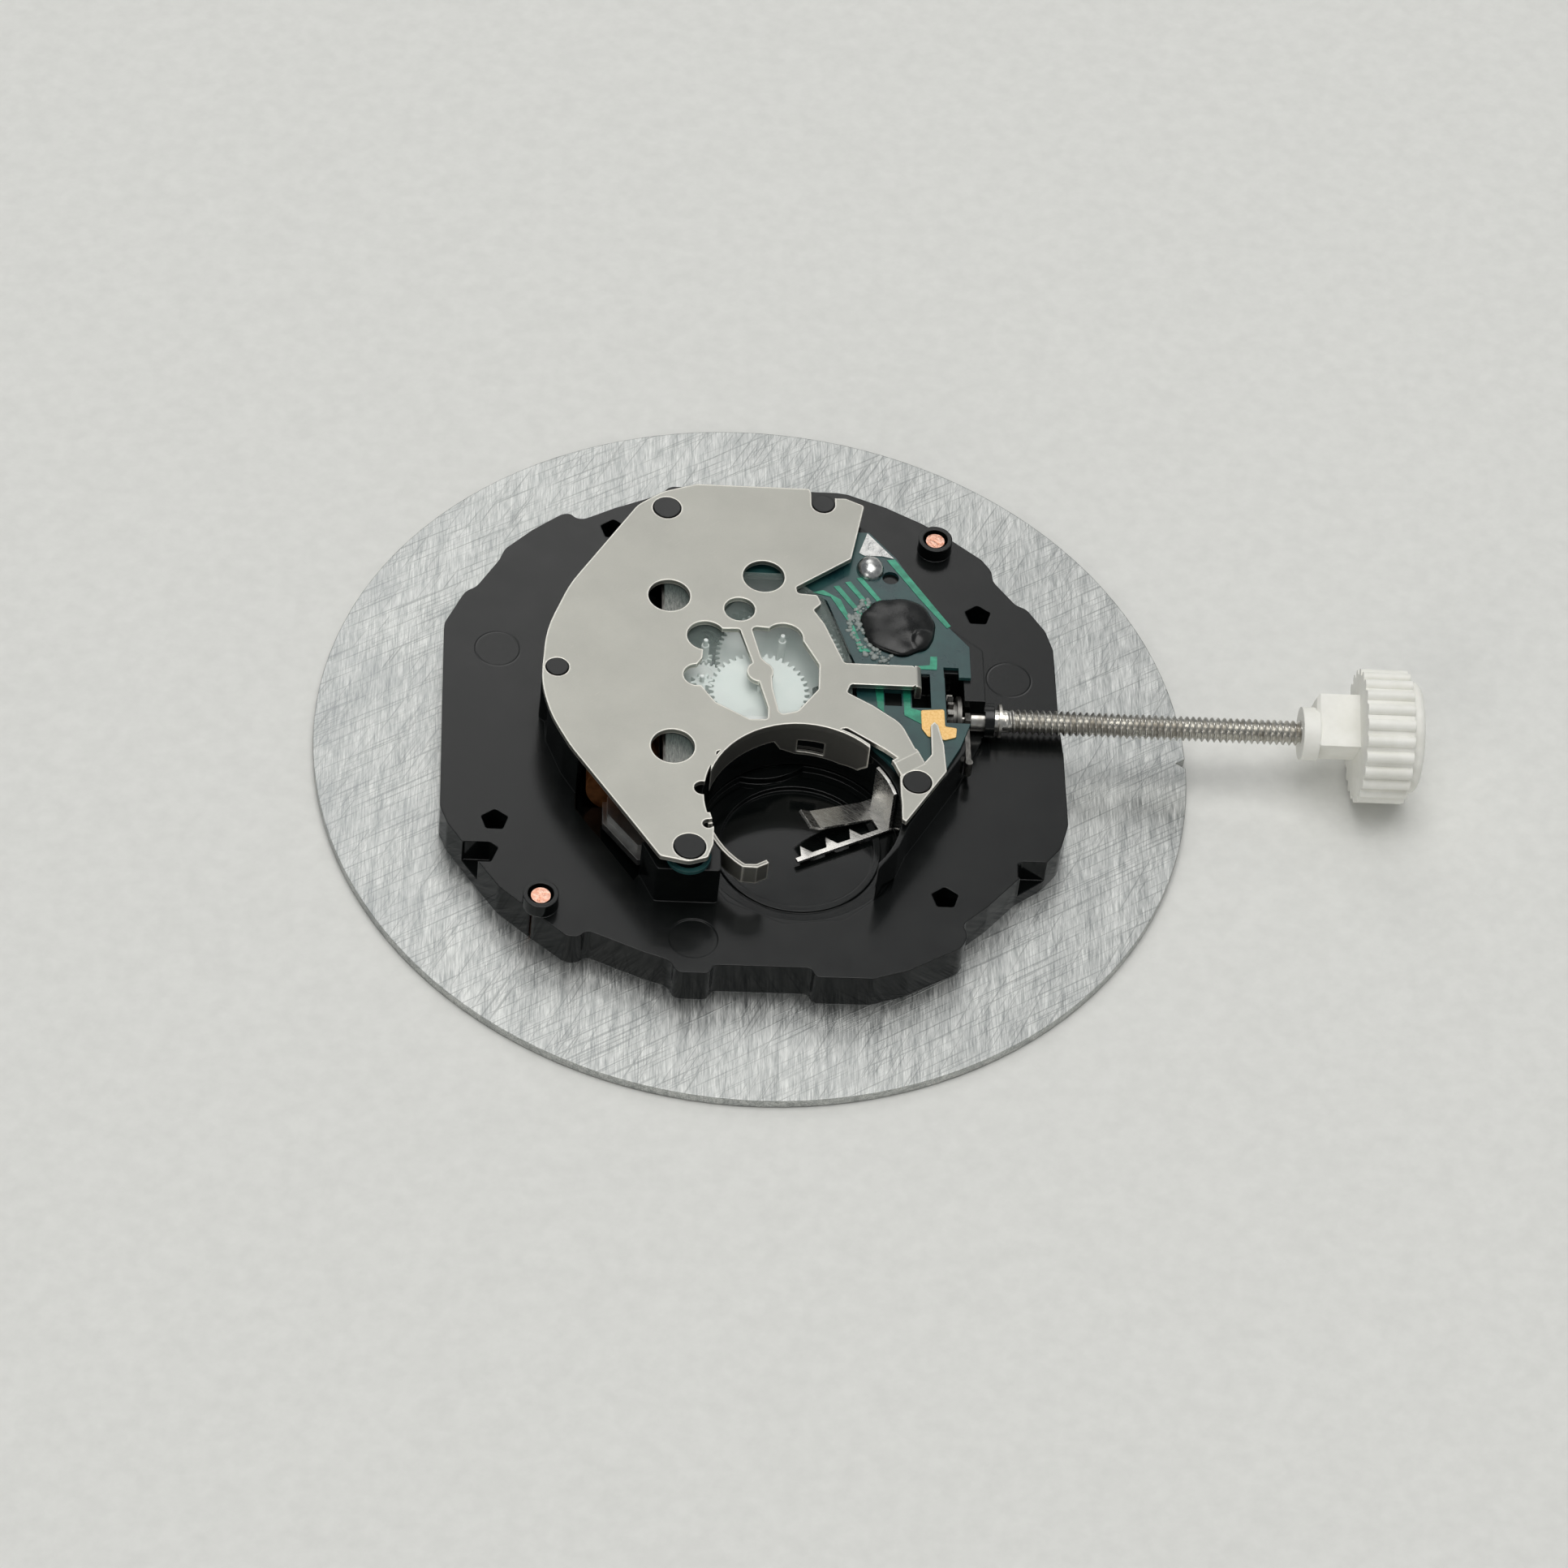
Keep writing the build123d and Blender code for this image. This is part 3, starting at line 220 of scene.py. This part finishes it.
def copper():
    finish = Finish("copper", (0.90, 0.52, 0.40), 0.34, 1.0)
    grain = finish.noise(0.12, 4)
    finish.colour(finish.blend(finish.span(grain, 0.4, 0.65), (0.78, 0.38, 0.26), (0.98, 0.66, 0.54)))
    finish.rough(finish.span(grain, 0.3, 0.7, 0.25, 0.5))
    finish.bump(grain, 0.03)
    return finish.material


EJECTOR_MARKS = ((-9.2, 3.0), (9.2, 2.5))
EJECTOR_R = 0.8
SATIN_FROM, SATIN_FULL = 1.25, 1.4      # heights between which the plastic turns from polished to satin


def black_plastic():
    """Satin on the flat tops, polished on the walls and low floors, as the mould leaves it."""
    finish = Finish("black_plastic", tone(12, 14, 13), 0.28, Specular_IOR_Level=0.42)
    finish.round_edges(0.05)
    cloud = finish.noise(1.4, 3)
    grain = finish.noise(0.045, 2)
    finish.colour(finish.blend(finish.span(cloud, 0.35, 0.7), tone(7, 9, 9), tone(13, 16, 15)))
    normal = finish.node("ShaderNodeNewGeometry").outputs["Normal"]
    upright = finish.node("ShaderNodeSeparateXYZ", {0: normal}).outputs["Z"]
    flat_top = finish.span(upright, 0.3, 0.8)
    satin = finish.math("MULTIPLY", flat_top, finish.span(finish.height(), SATIN_FROM, SATIN_FULL))
    texture = finish.span(cloud, 0.3, 0.7, 0.20, 0.27)
    polished = finish.span(cloud, 0.3, 0.7, 0.06, 0.12)
    gain = finish.math("SUBTRACT", texture, polished)
    finish.rough(finish.math("ADD", polished, finish.math("MULTIPLY", satin, gain)))
    finish.bump(grain, 0.0012)
    finish.bump(ejector_rings(finish), 0.005)
    return finish.material


def ejector_rings(finish):
    """The round marks that the mould's ejector pins leave on the flange."""
    flat = finish.node("ShaderNodeVectorMath", {0: finish.place(), 1: (1, 1, 0)}, operation="MULTIPLY")
    nearest = 1.0
    for x, y in EJECTOR_MARKS:
        inputs = {0: flat.outputs[0], 1: (x, y, 0)}
        away = finish.node("ShaderNodeVectorMath", inputs, operation="DISTANCE").outputs["Value"]
        from_ring = finish.math("ABSOLUTE", finish.math("SUBTRACT", away, EJECTOR_R))
        nearest = finish.math("MINIMUM", nearest, from_ring)
    return finish.span(nearest, 0.0, 0.05)


def nickel_sheet():
    """Satin nickel silver, with a painted highlight on its corners and painted shade on the sides that bend
    down, which are also rougher.
    """
    finish = Finish("nickel_sheet", (0.50, 0.475, 0.42), 0.42, 1.0)
    finish.round_edges(0.035)
    grain = finish.noise(0.05, 3, (1.6, 1, 1), 12)
    cloud = finish.noise(2.2, 3)
    marks = finish.span(finish.noise(0.07, 3, (14, 1, 1), -38), 0.66, 0.8)
    tint = finish.blend(finish.span(cloud, 0.3, 0.7), (0.40, 0.395, 0.36), (0.445, 0.44, 0.40))
    tint = finish.blend(finish.math("MULTIPLY", marks, 0.35), tint, (0.64, 0.62, 0.56))
    # painted shade: the bent-down sides below SKIRT_TOP are darkened in colour, and made a little rougher
    low = finish.span(finish.height(), SKIRT_TOP, SKIRT_TOP - 0.1)
    tint = finish.blend(low, tint, (0.24, 0.235, 0.215))
    # painted highlight: a bright cream colour on the corners
    finish.colour(finish.blend(finish.corner_highlight_mask(0.11), tint, (1.0, 0.97, 0.89)))
    dull = finish.math("MULTIPLY", low, 0.1)
    finish.rough(finish.math("ADD", dull, finish.span(grain, 0.3, 0.7, 0.36, 0.48)))
    finish.bump(grain, 0.0016)
    finish.bump(marks, 0.001)
    return finish.material


def bright_spring():
    """The contact strip: the same sheet, polished."""
    finish = Finish("bright_spring", (0.86, 0.84, 0.80), 0.26, 1.0)
    finish.round_edges(0.02)
    drawn = finish.noise(0.05, 3, (20, 1, 1), 26)
    finish.rough(finish.span(drawn, 0.3, 0.7, 0.2, 0.36))
    finish.bump(drawn, 0.002)
    return finish.material


def solder_mask():
    """The dark green lacquer of the board, with the glass weave faintly printed through."""
    finish = Finish("solder_mask", tone(24, 50, 54), 0.3, Coat_Weight=0.3, Coat_Roughness=0.15)
    finish.round_edges(0.02)
    cloud = finish.noise(1.1, 3)
    weave = finish.math("MULTIPLY", finish.noise(0.16, 1, (6, 1, 1)), finish.noise(0.16, 1, (1, 6, 1)))
    finish.colour(finish.blend(finish.span(cloud, 0.3, 0.7), tone(20, 54, 58), tone(36, 78, 76)))
    finish.rough(finish.span(cloud, 0.3, 0.7, 0.24, 0.36))
    finish.bump(weave, 0.004)
    return finish.material


def lacquered_track():
    """Copper seen through green lacquer."""
    finish = Finish("lacquered_track", tone(30, 138, 108), 0.3, 0.35, Coat_Weight=0.5, Coat_Roughness=0.15)
    patch = finish.noise(0.35, 3)
    finish.colour(finish.blend(finish.span(patch, 0.35, 0.65), tone(20, 120, 94), tone(46, 158, 124)))
    finish.bump(patch, 0.004)
    return finish.material


def resin():
    finish = Finish("resin", tone(20, 21, 21), 0.28, Specular_IOR_Level=0.4)
    lumps = finish.noise(0.7, 3)
    grain = finish.noise(0.09, 3)
    finish.colour(finish.blend(finish.span(lumps, 0.4, 0.68), tone(12, 13, 13), tone(28, 29, 28)))
    finish.rough(finish.span(lumps, 0.35, 0.65, 0.22, 0.38))
    finish.bump(lumps, 0.008)
    finish.bump(grain, 0.002)
    return finish.material


def flux():
    """Dried soldering flux, a clear whitish crust."""
    finish = Finish("flux", tone(176, 184, 180), 0.35, Alpha=0.6, Specular_IOR_Level=0.6)
    grain = finish.noise(0.08, 3)
    finish.rough(finish.span(grain, 0.3, 0.7, 0.15, 0.5))
    finish.bump(grain, 0.01)
    return finish.material


def solder():
    finish = Finish("solder", tone(208, 208, 206), 0.22, 1.0)
    lumps = finish.noise(0.3, 3)
    finish.colour(finish.blend(finish.span(lumps, 0.35, 0.7), tone(176, 177, 176), tone(226, 225, 222)))
    finish.rough(finish.span(lumps, 0.3, 0.7, 0.2, 0.38))
    finish.bump(lumps, 0.015)
    return finish.material


def gilt():
    finish = Finish("gilt", (0.86, 0.56, 0.22), 0.42, 0.85)
    finish.round_edges(0.02)
    grain = finish.noise(0.08, 3)
    finish.colour(finish.blend(finish.span(grain, 0.35, 0.65), (0.80, 0.49, 0.17), (0.92, 0.63, 0.29)))
    finish.bump(grain, 0.003)
    return finish.material


def coil_wire():
    finish = Finish("coil_wire", (0.42, 0.15, 0.05), 0.3, 0.75, Coat_Weight=0.6, Coat_Roughness=0.1)
    patch = finish.noise(0.5, 3)
    finish.colour(finish.blend(finish.span(patch, 0.35, 0.65), (0.30, 0.10, 0.03), (0.55, 0.22, 0.08)))
    finish.bump(finish.noise(0.06, 2), 0.004)
    return finish.material


def iron():
    finish = Finish("iron", tone(168, 168, 166), 0.36, 1.0)
    finish.round_edges(0.025)
    rolled = finish.noise(0.08, 3, (1, 14, 1))
    cloud = finish.noise(0.9, 3)
    finish.colour(finish.blend(finish.span(cloud, 0.3, 0.7), tone(148, 149, 149), tone(186, 185, 182)))
    finish.rough(finish.span(rolled, 0.3, 0.7, 0.28, 0.46))
    finish.bump(rolled, 0.003)
    return finish.material


def magnet():
    finish = Finish("magnet", tone(92, 92, 94), 0.5, 0.7)
    grain = finish.noise(0.05, 3)
    finish.rough(finish.span(grain, 0.3, 0.7, 0.4, 0.62))
    finish.bump(grain, 0.006)
    return finish.material


def moulded_white(name, dark, light, grain_depth):
    """Matt white plastic with the faint mottling of a moulding."""
    finish = Finish(name, light, 0.46, Specular_IOR_Level=0.4)
    finish.round_edges(0.03)
    cloud = finish.noise(0.9, 3)
    grain = finish.noise(0.05, 3)
    finish.colour(finish.blend(finish.span(cloud, 0.3, 0.7), dark, light))
    finish.rough(finish.span(cloud, 0.3, 0.7, 0.40, 0.54))
    finish.bump(grain, grain_depth)
    return finish.material


def wheel_plastic():
    return moulded_white("wheel_plastic", tone(238, 243, 240), tone(250, 252, 249), 0.0015)


def crown_plastic():
    return moulded_white("crown_plastic", tone(238, 237, 229), tone(248, 247, 241), 0.004)


def clear_plastic():
    finish = Finish("clear_plastic", tone(214, 236, 228), 0.08, Alpha=0.1, Specular_IOR_Level=0.8)
    finish.round_edges(0.03)
    flow = finish.noise(0.6, 3)
    finish.rough(finish.span(flow, 0.3, 0.7, 0.06, 0.2))
    finish.bump(flow, 0.01)
    return finish.material


def steel():
    finish = Finish("steel", tone(200, 198, 192), 0.3, 1.0)
    dirt = finish.noise(0.5, 3)
    polish = finish.noise(0.2, 2)
    finish.colour(finish.blend(finish.span(dirt, 0.45, 0.8), tone(208, 206, 200), tone(158, 152, 142)))
    finish.rough(finish.span(dirt, 0.3, 0.7, 0.24, 0.4))
    finish.bump(polish, 0.002)
    return finish.material


def dull_steel():
    """Hardened steel left grey from the furnace."""
    finish = Finish("dull_steel", tone(112, 111, 108), 0.42, 1.0)
    turned = finish.noise(0.06, 3, (1, 5, 5))
    finish.colour(finish.blend(finish.span(turned, 0.35, 0.65), tone(92, 91, 88), tone(136, 134, 130)))
    finish.rough(finish.span(turned, 0.3, 0.7, 0.36, 0.5))
    finish.bump(turned, 0.002)
    return finish.material


def brass():
    finish = Finish("brass", (0.80, 0.60, 0.30), 0.28, 1.0)
    turned = finish.noise(0.05, 3, (9, 9, 1))
    finish.rough(finish.span(turned, 0.3, 0.7, 0.2, 0.38))
    finish.bump(turned, 0.003)
    return finish.material


def crystal_can():
    finish = Finish("crystal_can", tone(196, 197, 198), 0.24, 1.0)
    drawn = finish.noise(0.06, 3, (14, 1, 1))
    finish.rough(finish.span(drawn, 0.3, 0.7, 0.18, 0.34))
    finish.bump(drawn, 0.003)
    return finish.material


def floor_paper():
    finish = Finish("floor_paper", tone(226, 226, 222), 0.9, Specular_IOR_Level=0.2)
    fibre = finish.noise(0.6, 4)
    finish.colour(finish.blend(finish.span(fibre, 0.3, 0.7), tone(223, 223, 219), tone(230, 230, 226)))
    finish.bump(fibre, 0.01)
    return finish.material


NODE_FINISHES = {
    brushed_disc: ["dial_disc"],
    copper: ["dial_feet"],
    black_plastic: ["main_plate"],
    wheel_plastic: ["middle_bridge", "rotor_pinion", "fifth_wheel", "fourth_wheel", "third_wheel",
                    "centre_wheel", "minute_wheel", "hour_wheel", "setting_wheel", "corrector_wheel"],
    clear_plastic: ["train_bridge"],
    nickel_sheet: ["cover_plate"],
    bright_spring: ["negative_contact"],
    solder_mask: ["circuit_board", "coil_terminal_board"],
    resin: ["chip_resin"],
    crystal_can: ["quartz_crystal"],
    solder: ["board_solder", "coil_solder"],
    gilt: ["contact_pad"],
    coil_wire: ["coil_winding"],
    iron: ["coil_core", "stator"],
    magnet: ["rotor_magnet"],
    brass: ["cannon_pinion", "dial_washer"],
    steel: ["setting_stem"],
    dull_steel: ["clutch_wheel", "setting_lever"],
    crown_plastic: ["crown"],
}


def paint_nodes(nodes):
    """Gives every CAD node its material, and returns the materials by name."""
    made = {}
    for recipe, names in NODE_FINISHES.items():
        material = recipe()
        made[recipe.__name__] = material
        for name in names:
            mesh = nodes[name].data
            mesh.materials.clear()
            mesh.materials.append(material)
    return made


# ---------------------------------------------------------------- pieces

def make_piece(name, points, faces, body, material, smooth=True):
    """A mesh from points in millimetres, riding on a body."""
    mesh = bpy.data.meshes.new(name)
    mesh.from_pydata([Vector(point) * MM for point in points], [], faces)
    mesh.validate()
    mesh.materials.append(material)
    piece = bpy.data.objects.new(name, mesh)
    bpy.context.scene.collection.objects.link(piece)
    for face in mesh.polygons:
        face.use_smooth = smooth
    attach(piece, body)
    return piece


def lathe_faces(rows, columns):
    """Quads between neighbouring rings of points, and a fan on a last point at each end."""
    faces = []
    for row in range(rows - 1):
        for column in range(columns):
            following = (column + 1) % columns
            here, there = row * columns, (row + 1) * columns
            faces.append((here + column, here + following, there + following, there + column))
    first, last = rows * columns, rows * columns + 1
    for column in range(columns):
        following = (column + 1) % columns
        faces.append((first, following, column))
        faces.append((last, (rows - 1) * columns + column, (rows - 1) * columns + following))
    return faces


def around_x(name, stations, columns, body, material):
    """A closed surface round the stem's axis. A station is an x and a radius, which may vary with the angle."""
    points = []
    for x, radius in stations:
        for column in range(columns):
            angle = math.tau * column / columns
            away = radius(x, angle)
            points.append((x, away * math.cos(angle), STEM_Z + away * math.sin(angle)))
    points += [(stations[0][0], 0, STEM_Z), (stations[-1][0], 0, STEM_Z)]
    return make_piece(name, points, lathe_faces(len(stations), columns), body, material)


def plain(radius):
    """A round section for around_x."""
    return lambda x, angle: radius


def square_section(x, angle):
    """A square section for around_x."""
    return SQUARE_HALF / max(abs(math.cos(angle)), abs(math.sin(angle)))


def thread_section(x, angle):
    """The radius of a helical thread with narrow flats at crest and root."""
    turn = (x - THREAD_FROM) / THREAD_PITCH - angle / math.tau
    wave = abs((turn % 1.0) * 2 - 1)
    share = min(max((wave - THREAD_FLAT) / (1 - 2 * THREAD_FLAT), 0.0), 1.0)
    fade = min(max((x - THREAD_FROM) / (THREAD_FADE * THREAD_PITCH), 0.0), 1.0)
    crest = BEARING_R + (THREAD_CREST - BEARING_R) * fade
    root = BEARING_R + (THREAD_ROOT - BEARING_R) * fade
    return root + (crest - root) * share


def stem_stations():
    """The stem's sections from its tip to its end, doubled at every step so that the steps stay crisp."""
    edge = 0.02
    steps = [(STEM_TIP, SQUARE_FROM, plain(PILOT_R)), (SQUARE_FROM, SQUARE_TO, square_section),
             (SQUARE_TO, GROOVE_TO, plain(GROOVE_R)), (GROOVE_TO, COLLAR_FROM, plain(BEARING_R)),
             (COLLAR_FROM, COLLAR_TO, plain(COLLAR_R)), (COLLAR_TO, THREAD_FROM, plain(BEARING_R))]
    stations = []
    for start, end, section in steps:
        stations += [(start, section), (start + edge, section), (end - edge, section), (end, section)]
    count = int((THREAD_TO - THREAD_FROM) / THREAD_PITCH * THREAD_STEPS)
    for step in range(count + 1):
        stations.append((THREAD_FROM + (THREAD_TO - THREAD_FROM) * step / count, thread_section))
    return stations


def setting_stem(material):
    """The stem with its thread cut as a true helix."""
    stem = around_x("threaded_stem", stem_stations(), 40, "stem_and_crown", material)
    sharpen(stem, 40)
    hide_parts("setting_stem")


def sharpen(piece, angle):
    """Keeps corners above an angle crisp under smooth shading."""
    piece.data.set_sharp_from_angle(angle=math.radians(angle))


def wound_points(rows, columns, per_turn):
    """The winding's outside: a bead of wire that climbs once round the coil in per_turn rows."""
    points = []
    for row in range(rows):
        y = -COIL_HALF + 2 * COIL_HALF * row / (rows - 1)
        for column in range(columns):
            angle = math.tau * column / columns
            phase = (row / per_turn - angle / math.tau) % 1.0
            away = COIL_R - WIRE / 2 + WIRE / 2 * math.sqrt(1 - (2 * phase - 1) ** 2)
            points.append((COIL_X + away * math.cos(angle), y, COIL_Z + away * math.sin(angle)))
    return points


def bore_points(columns):
    """The rectangular hole for the core, at the winding's two ends."""
    points = []
    for y in (-COIL_HALF, COIL_HALF):
        for column in range(columns):
            angle = math.tau * column / columns
            reach_x = COIL_BORE[0] / max(abs(math.cos(angle)), 1e-6)
            reach_z = COIL_BORE[1] / max(abs(math.sin(angle)), 1e-6)
            away = min(reach_x, reach_z)
            points.append((COIL_X + away * math.cos(angle), y, COIL_Z + away * math.sin(angle)))
    return points


def coil_faces(rows, columns):
    """Quads over the winding's outside, its two ends and its bore."""
    faces = []
    for row in range(rows - 1):
        for column in range(columns):
            following = (column + 1) % columns
            here, there = row * columns, (row + 1) * columns
            faces.append((here + column, there + column, there + following, here + following))
    last, near_bore, far_bore = (rows - 1) * columns, rows * columns, (rows + 1) * columns
    for column in range(columns):
        following = (column + 1) % columns
        faces.append((column, following, near_bore + following, near_bore + column))
        faces.append((last + following, last + column, far_bore + column, far_bore + following))
        faces.append((near_bore + column, near_bore + following, far_bore + following, far_bore + column))
    return faces


def coil_winding(material):
    """Enamelled wire wound in close turns on the iron core."""
    columns, per_turn = 64, 6
    rows = int(2 * COIL_HALF / WIRE) * per_turn + 1
    points = wound_points(rows, columns, per_turn) + bore_points(columns)
    coil = make_piece("wound_coil", points, coil_faces(rows, columns), "movement", material)
    sharpen(coil, 60)
    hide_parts("coil_winding")


TRACKS = [
    [(4.72, 6.33), (5.01, 6.38), (6.92, 3.26), (6.78, 3.15), (5.82, 4.56)],
    [(6.13, 1.77), (6.37, 1.78), (6.34, 1.16), (5.67, 1.16), (5.68, 1.30), (6.09, 1.36)],
    [(1.98, 4.62), (2.37, 4.75), (2.99, 4.33), (3.47, 2.97), (3.68, 2.22), (4.01, 1.89), (3.60, 1.87),
     (3.22, 3.30), (2.63, 4.45)],
    [(5.09, 0.11), (5.35, 0.12), (5.35, -0.69), (5.73, -0.81), (5.71, -1.42), (5.11, -1.04)],
    [(4.11, 0.12), (4.40, 0.14), (4.39, -0.95), (4.17, -0.69)],
]
TRACK_SUNK, TRACK_RISE = 0.01, 0.018


def board_tracks(material):
    """The conductors that stand out a little under the board's lacquer."""
    points, faces = [], []
    for outline in TRACKS + diagonal_tracks():
        add_prism(points, faces, outline, BOARD_TOP - TRACK_SUNK, BOARD_TOP + TRACK_RISE)
    tracks = make_piece("board_tracks", points, faces, "movement", material, smooth=False)
    fix_outward(tracks)


def diagonal_tracks():
    """Parallel tracks that run from under the cover to the chip."""
    outlines = []
    for shift in range(3):
        x, y = 2.75 + 0.42 * shift, 4.95 + 0.22 * shift
        start = [(x, y), (x + 0.2, y + 0.05)]
        bend, end = [(x + 0.95, y - 1.15), (x + 1.12, y - 1.6)], [(x + 0.95, y - 1.6), (x + 0.78, y - 1.18)]
        outlines.append(start + bend + end)
    return outlines


SIGHT_IRON = [
    [(-3.42, -4.2), (-2.4, -4.2), (-2.4, -2.15), (-3.42, -2.15)],
    [(-3.42, 3.3), (-2.3, 3.3), (-2.3, 4.9), (-3.42, 4.9)],
]
SIGHT_SUNK, SIGHT_RISE = 0.3, 0.01


def sight_iron(material):
    """The stator's raised ends, seen through the round holes in the cover."""
    points, faces = [], []
    for outline in SIGHT_IRON:
        add_prism(points, faces, outline, PLATE_TOP - SIGHT_SUNK, PLATE_TOP + SIGHT_RISE)
    iron_ends = make_piece("sight_iron", points, faces, "movement", material, smooth=False)
    fix_outward(iron_ends)


def add_prism(points, faces, outline, low, high):
    """Adds an upright block on an outline to a growing mesh."""
    start, count = len(points), len(outline)
    for height in (low, high):
        points += [(x, y, height) for x, y in outline]
    faces.append([start + count + i for i in range(count)])
    faces.append([start + i for i in reversed(range(count))])
    for i in range(count):
        following = (i + 1) % count
        faces.append((start + i, start + following, start + count + following, start + count + i))


def resin_height(x, y, share):
    """The drop's height: a swelling that falls to nothing at the rim, with low lumps and the second drop."""
    swell = math.sqrt(max(1 - share ** 2.6, 0.0))
    lumps = RESIN_LUMP * noise.noise(Vector((LUMPS_PER_MM * x, LUMPS_PER_MM * y, 0.3)))
    inside_lens = max(1 - (math.hypot(x - LENS_AT[0], y - LENS_AT[1]) / LENS_R) ** 2, 0.0)
    return swell * (RESIN_RISE + lumps + LENS_RISE * math.sqrt(inside_lens))


def ragged_rim(angle):
    """The drop's radius in one direction."""
    wander = noise.noise(Vector((2 * math.cos(angle), 2 * math.sin(angle), 1.5)))
    return RESIN_R * (0.95 + RESIN_RAGGED * wander)


def resin_drop(material):
    """The resin over the chip, poured with a ragged rim and a second small drop at one side."""
    rows, columns = 22, 96
    points = []
    for row in range(rows):
        share = 1 - row / rows
        for column in range(columns):
            angle = math.tau * column / columns
            away = ragged_rim(angle) * share
            x, y = CHIP[0] + away * math.cos(angle), CHIP[1] + away * math.sin(angle)
            rise = resin_height(x, y, share) if row else 0.0
            points.append((x, y, BOARD_TOP + rise))
    points.append((*CHIP, BOARD_TOP))
    points.append((*CHIP, BOARD_TOP + resin_height(*CHIP, 0.0)))
    drop = make_piece("resin_drop", points, lathe_faces(rows, columns), "movement", material)
    fix_outward(drop)
    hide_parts("chip_resin")


def flux_specks(material):
    """Beads and flakes of dried flux beside the chip, on its left."""
    draw = random.Random(12)
    points, faces = [], []
    for _ in range(FLUX_BEADS):
        angle = draw.uniform(math.radians(130), math.radians(260))
        away = RESIN_R + draw.uniform(-0.12, 0.42)
        x, y = CHIP[0] + away * math.cos(angle), CHIP[1] + away * math.sin(angle)
        add_bead(points, faces, draw, x, y)
    specks = make_piece("flux_specks", points, faces, "movement", material)
    fix_outward(specks)


def add_bead(points, faces, draw, x, y):
    """Adds one low bead with an uneven outline to a growing mesh."""
    size, rise = draw.uniform(0.04, 0.13), draw.uniform(0.03, 0.09)
    start = len(points)
    for ring, lift in BEAD_RINGS:
        for side in range(BEAD_SIDES):
            turn = math.tau * side / BEAD_SIDES
            reach = ring * size * draw.uniform(0.75, 1.25)
            points.append((x + reach * math.cos(turn), y + reach * math.sin(turn), BOARD_TOP + lift * rise))
    for face in lathe_faces(len(BEAD_RINGS), BEAD_SIDES):
        faces.append([start + corner for corner in face])
    points += [(x, y, BOARD_TOP - 0.02), (x, y, BOARD_TOP + rise)]


def fix_outward(piece):
    """Turns every face of a closed mesh outwards."""
    work = bmesh.new()
    work.from_mesh(piece.data)
    bmesh.ops.recalc_face_normals(work, faces=work.faces)
    work.to_mesh(piece.data)
    work.free()


# ---------------------------------------------------------------- scene

def add_camera():
    """A camera at the calibrated place, with the roll of a hand-held shot."""
    rise, roll, turn = (math.radians(value) for value in (CAMERA_RISE, CAMERA_ROLL, CAMERA_TURN))
    right = Vector((1, 0, 0))
    away = Vector((0, math.cos(rise), -math.sin(rise)))
    down = Vector((0, -math.sin(rise), -math.cos(rise)))
    rolled_right = math.cos(roll) * right + math.sin(roll) * down
    rolled_down = -math.sin(roll) * right + math.cos(roll) * down
    place = -(rolled_right * CAMERA_OFFSET[0] + rolled_down * CAMERA_OFFSET[1] + away * CAMERA_OFFSET[2])
    spin = Matrix.Rotation(turn, 3, "Z")
    axes = Matrix((spin @ rolled_right, spin @ -rolled_down, spin @ -away)).transposed()
    data = bpy.data.cameras.new("camera")
    data.lens, data.sensor_width = LENS, SENSOR
    data.clip_start, data.clip_end = 0.005, 20
    camera = bpy.data.objects.new("camera", data)
    camera.matrix_world = Matrix.Translation(spin @ place * MM) @ axes.to_4x4()
    bpy.context.scene.collection.objects.link(camera)
    bpy.context.scene.camera = camera


def add_softbox(name, place, size, power, colour):
    """A square lamp in metres that faces the object."""
    data = bpy.data.lights.new(name, "AREA")
    data.size, data.energy, data.color = size, power, colour
    lamp = bpy.data.objects.new(name, data)
    lamp.location = place
    lamp.rotation_euler = (-Vector(place)).to_track_quat("-Z", "Y").to_euler()
    bpy.context.scene.collection.objects.link(lamp)


def add_light():
    """A pale even sky and three soft lamps."""
    world = bpy.data.worlds.new("studio")
    world.use_nodes = True
    background = world.node_tree.nodes["Background"]
    background.inputs["Color"].default_value = SKY_COLOUR
    background.inputs["Strength"].default_value = SKY_STRENGTH
    bpy.context.scene.world = world
    for name, lamp in LAMPS.items():
        add_softbox(name, *lamp)


def add_floor():
    """A pale floor under the disc, with a hole beneath it where the hand pipes reach down."""
    z = DISC_UNDER - FLOOR_DROP
    columns = 64
    points, faces = [], []
    for radius in (FLOOR_HOLE_R, FLOOR_HALF):
        for column in range(columns):
            angle = math.tau * column / columns
            points.append((radius * math.cos(angle), radius * math.sin(angle), z))
    for column in range(columns):
        following = (column + 1) % columns
        faces.append((column, columns + column, columns + following, following))
    mesh = bpy.data.meshes.new("floor")
    mesh.from_pydata([Vector(point) * MM for point in points], [], faces)
    mesh.materials.append(floor_paper())
    floor = bpy.data.objects.new("floor", mesh)
    bpy.context.scene.collection.objects.link(floor)


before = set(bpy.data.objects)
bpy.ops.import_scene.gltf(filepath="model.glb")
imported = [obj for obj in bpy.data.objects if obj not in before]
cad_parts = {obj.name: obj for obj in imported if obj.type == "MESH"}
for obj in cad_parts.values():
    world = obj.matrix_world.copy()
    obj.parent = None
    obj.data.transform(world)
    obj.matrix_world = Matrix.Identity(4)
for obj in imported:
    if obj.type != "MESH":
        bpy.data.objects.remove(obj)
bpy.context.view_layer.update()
bpy.context.scene.view_settings.view_transform = "Standard"
add_camera()
add_light()
add_floor()
materials = paint_nodes(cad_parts)
setting_stem(materials["steel"])
coil_winding(materials["coil_wire"])
board_tracks(lacquered_track())
resin_drop(materials["resin"])
flux_specks(flux())
sight_iron(materials["dull_steel"])
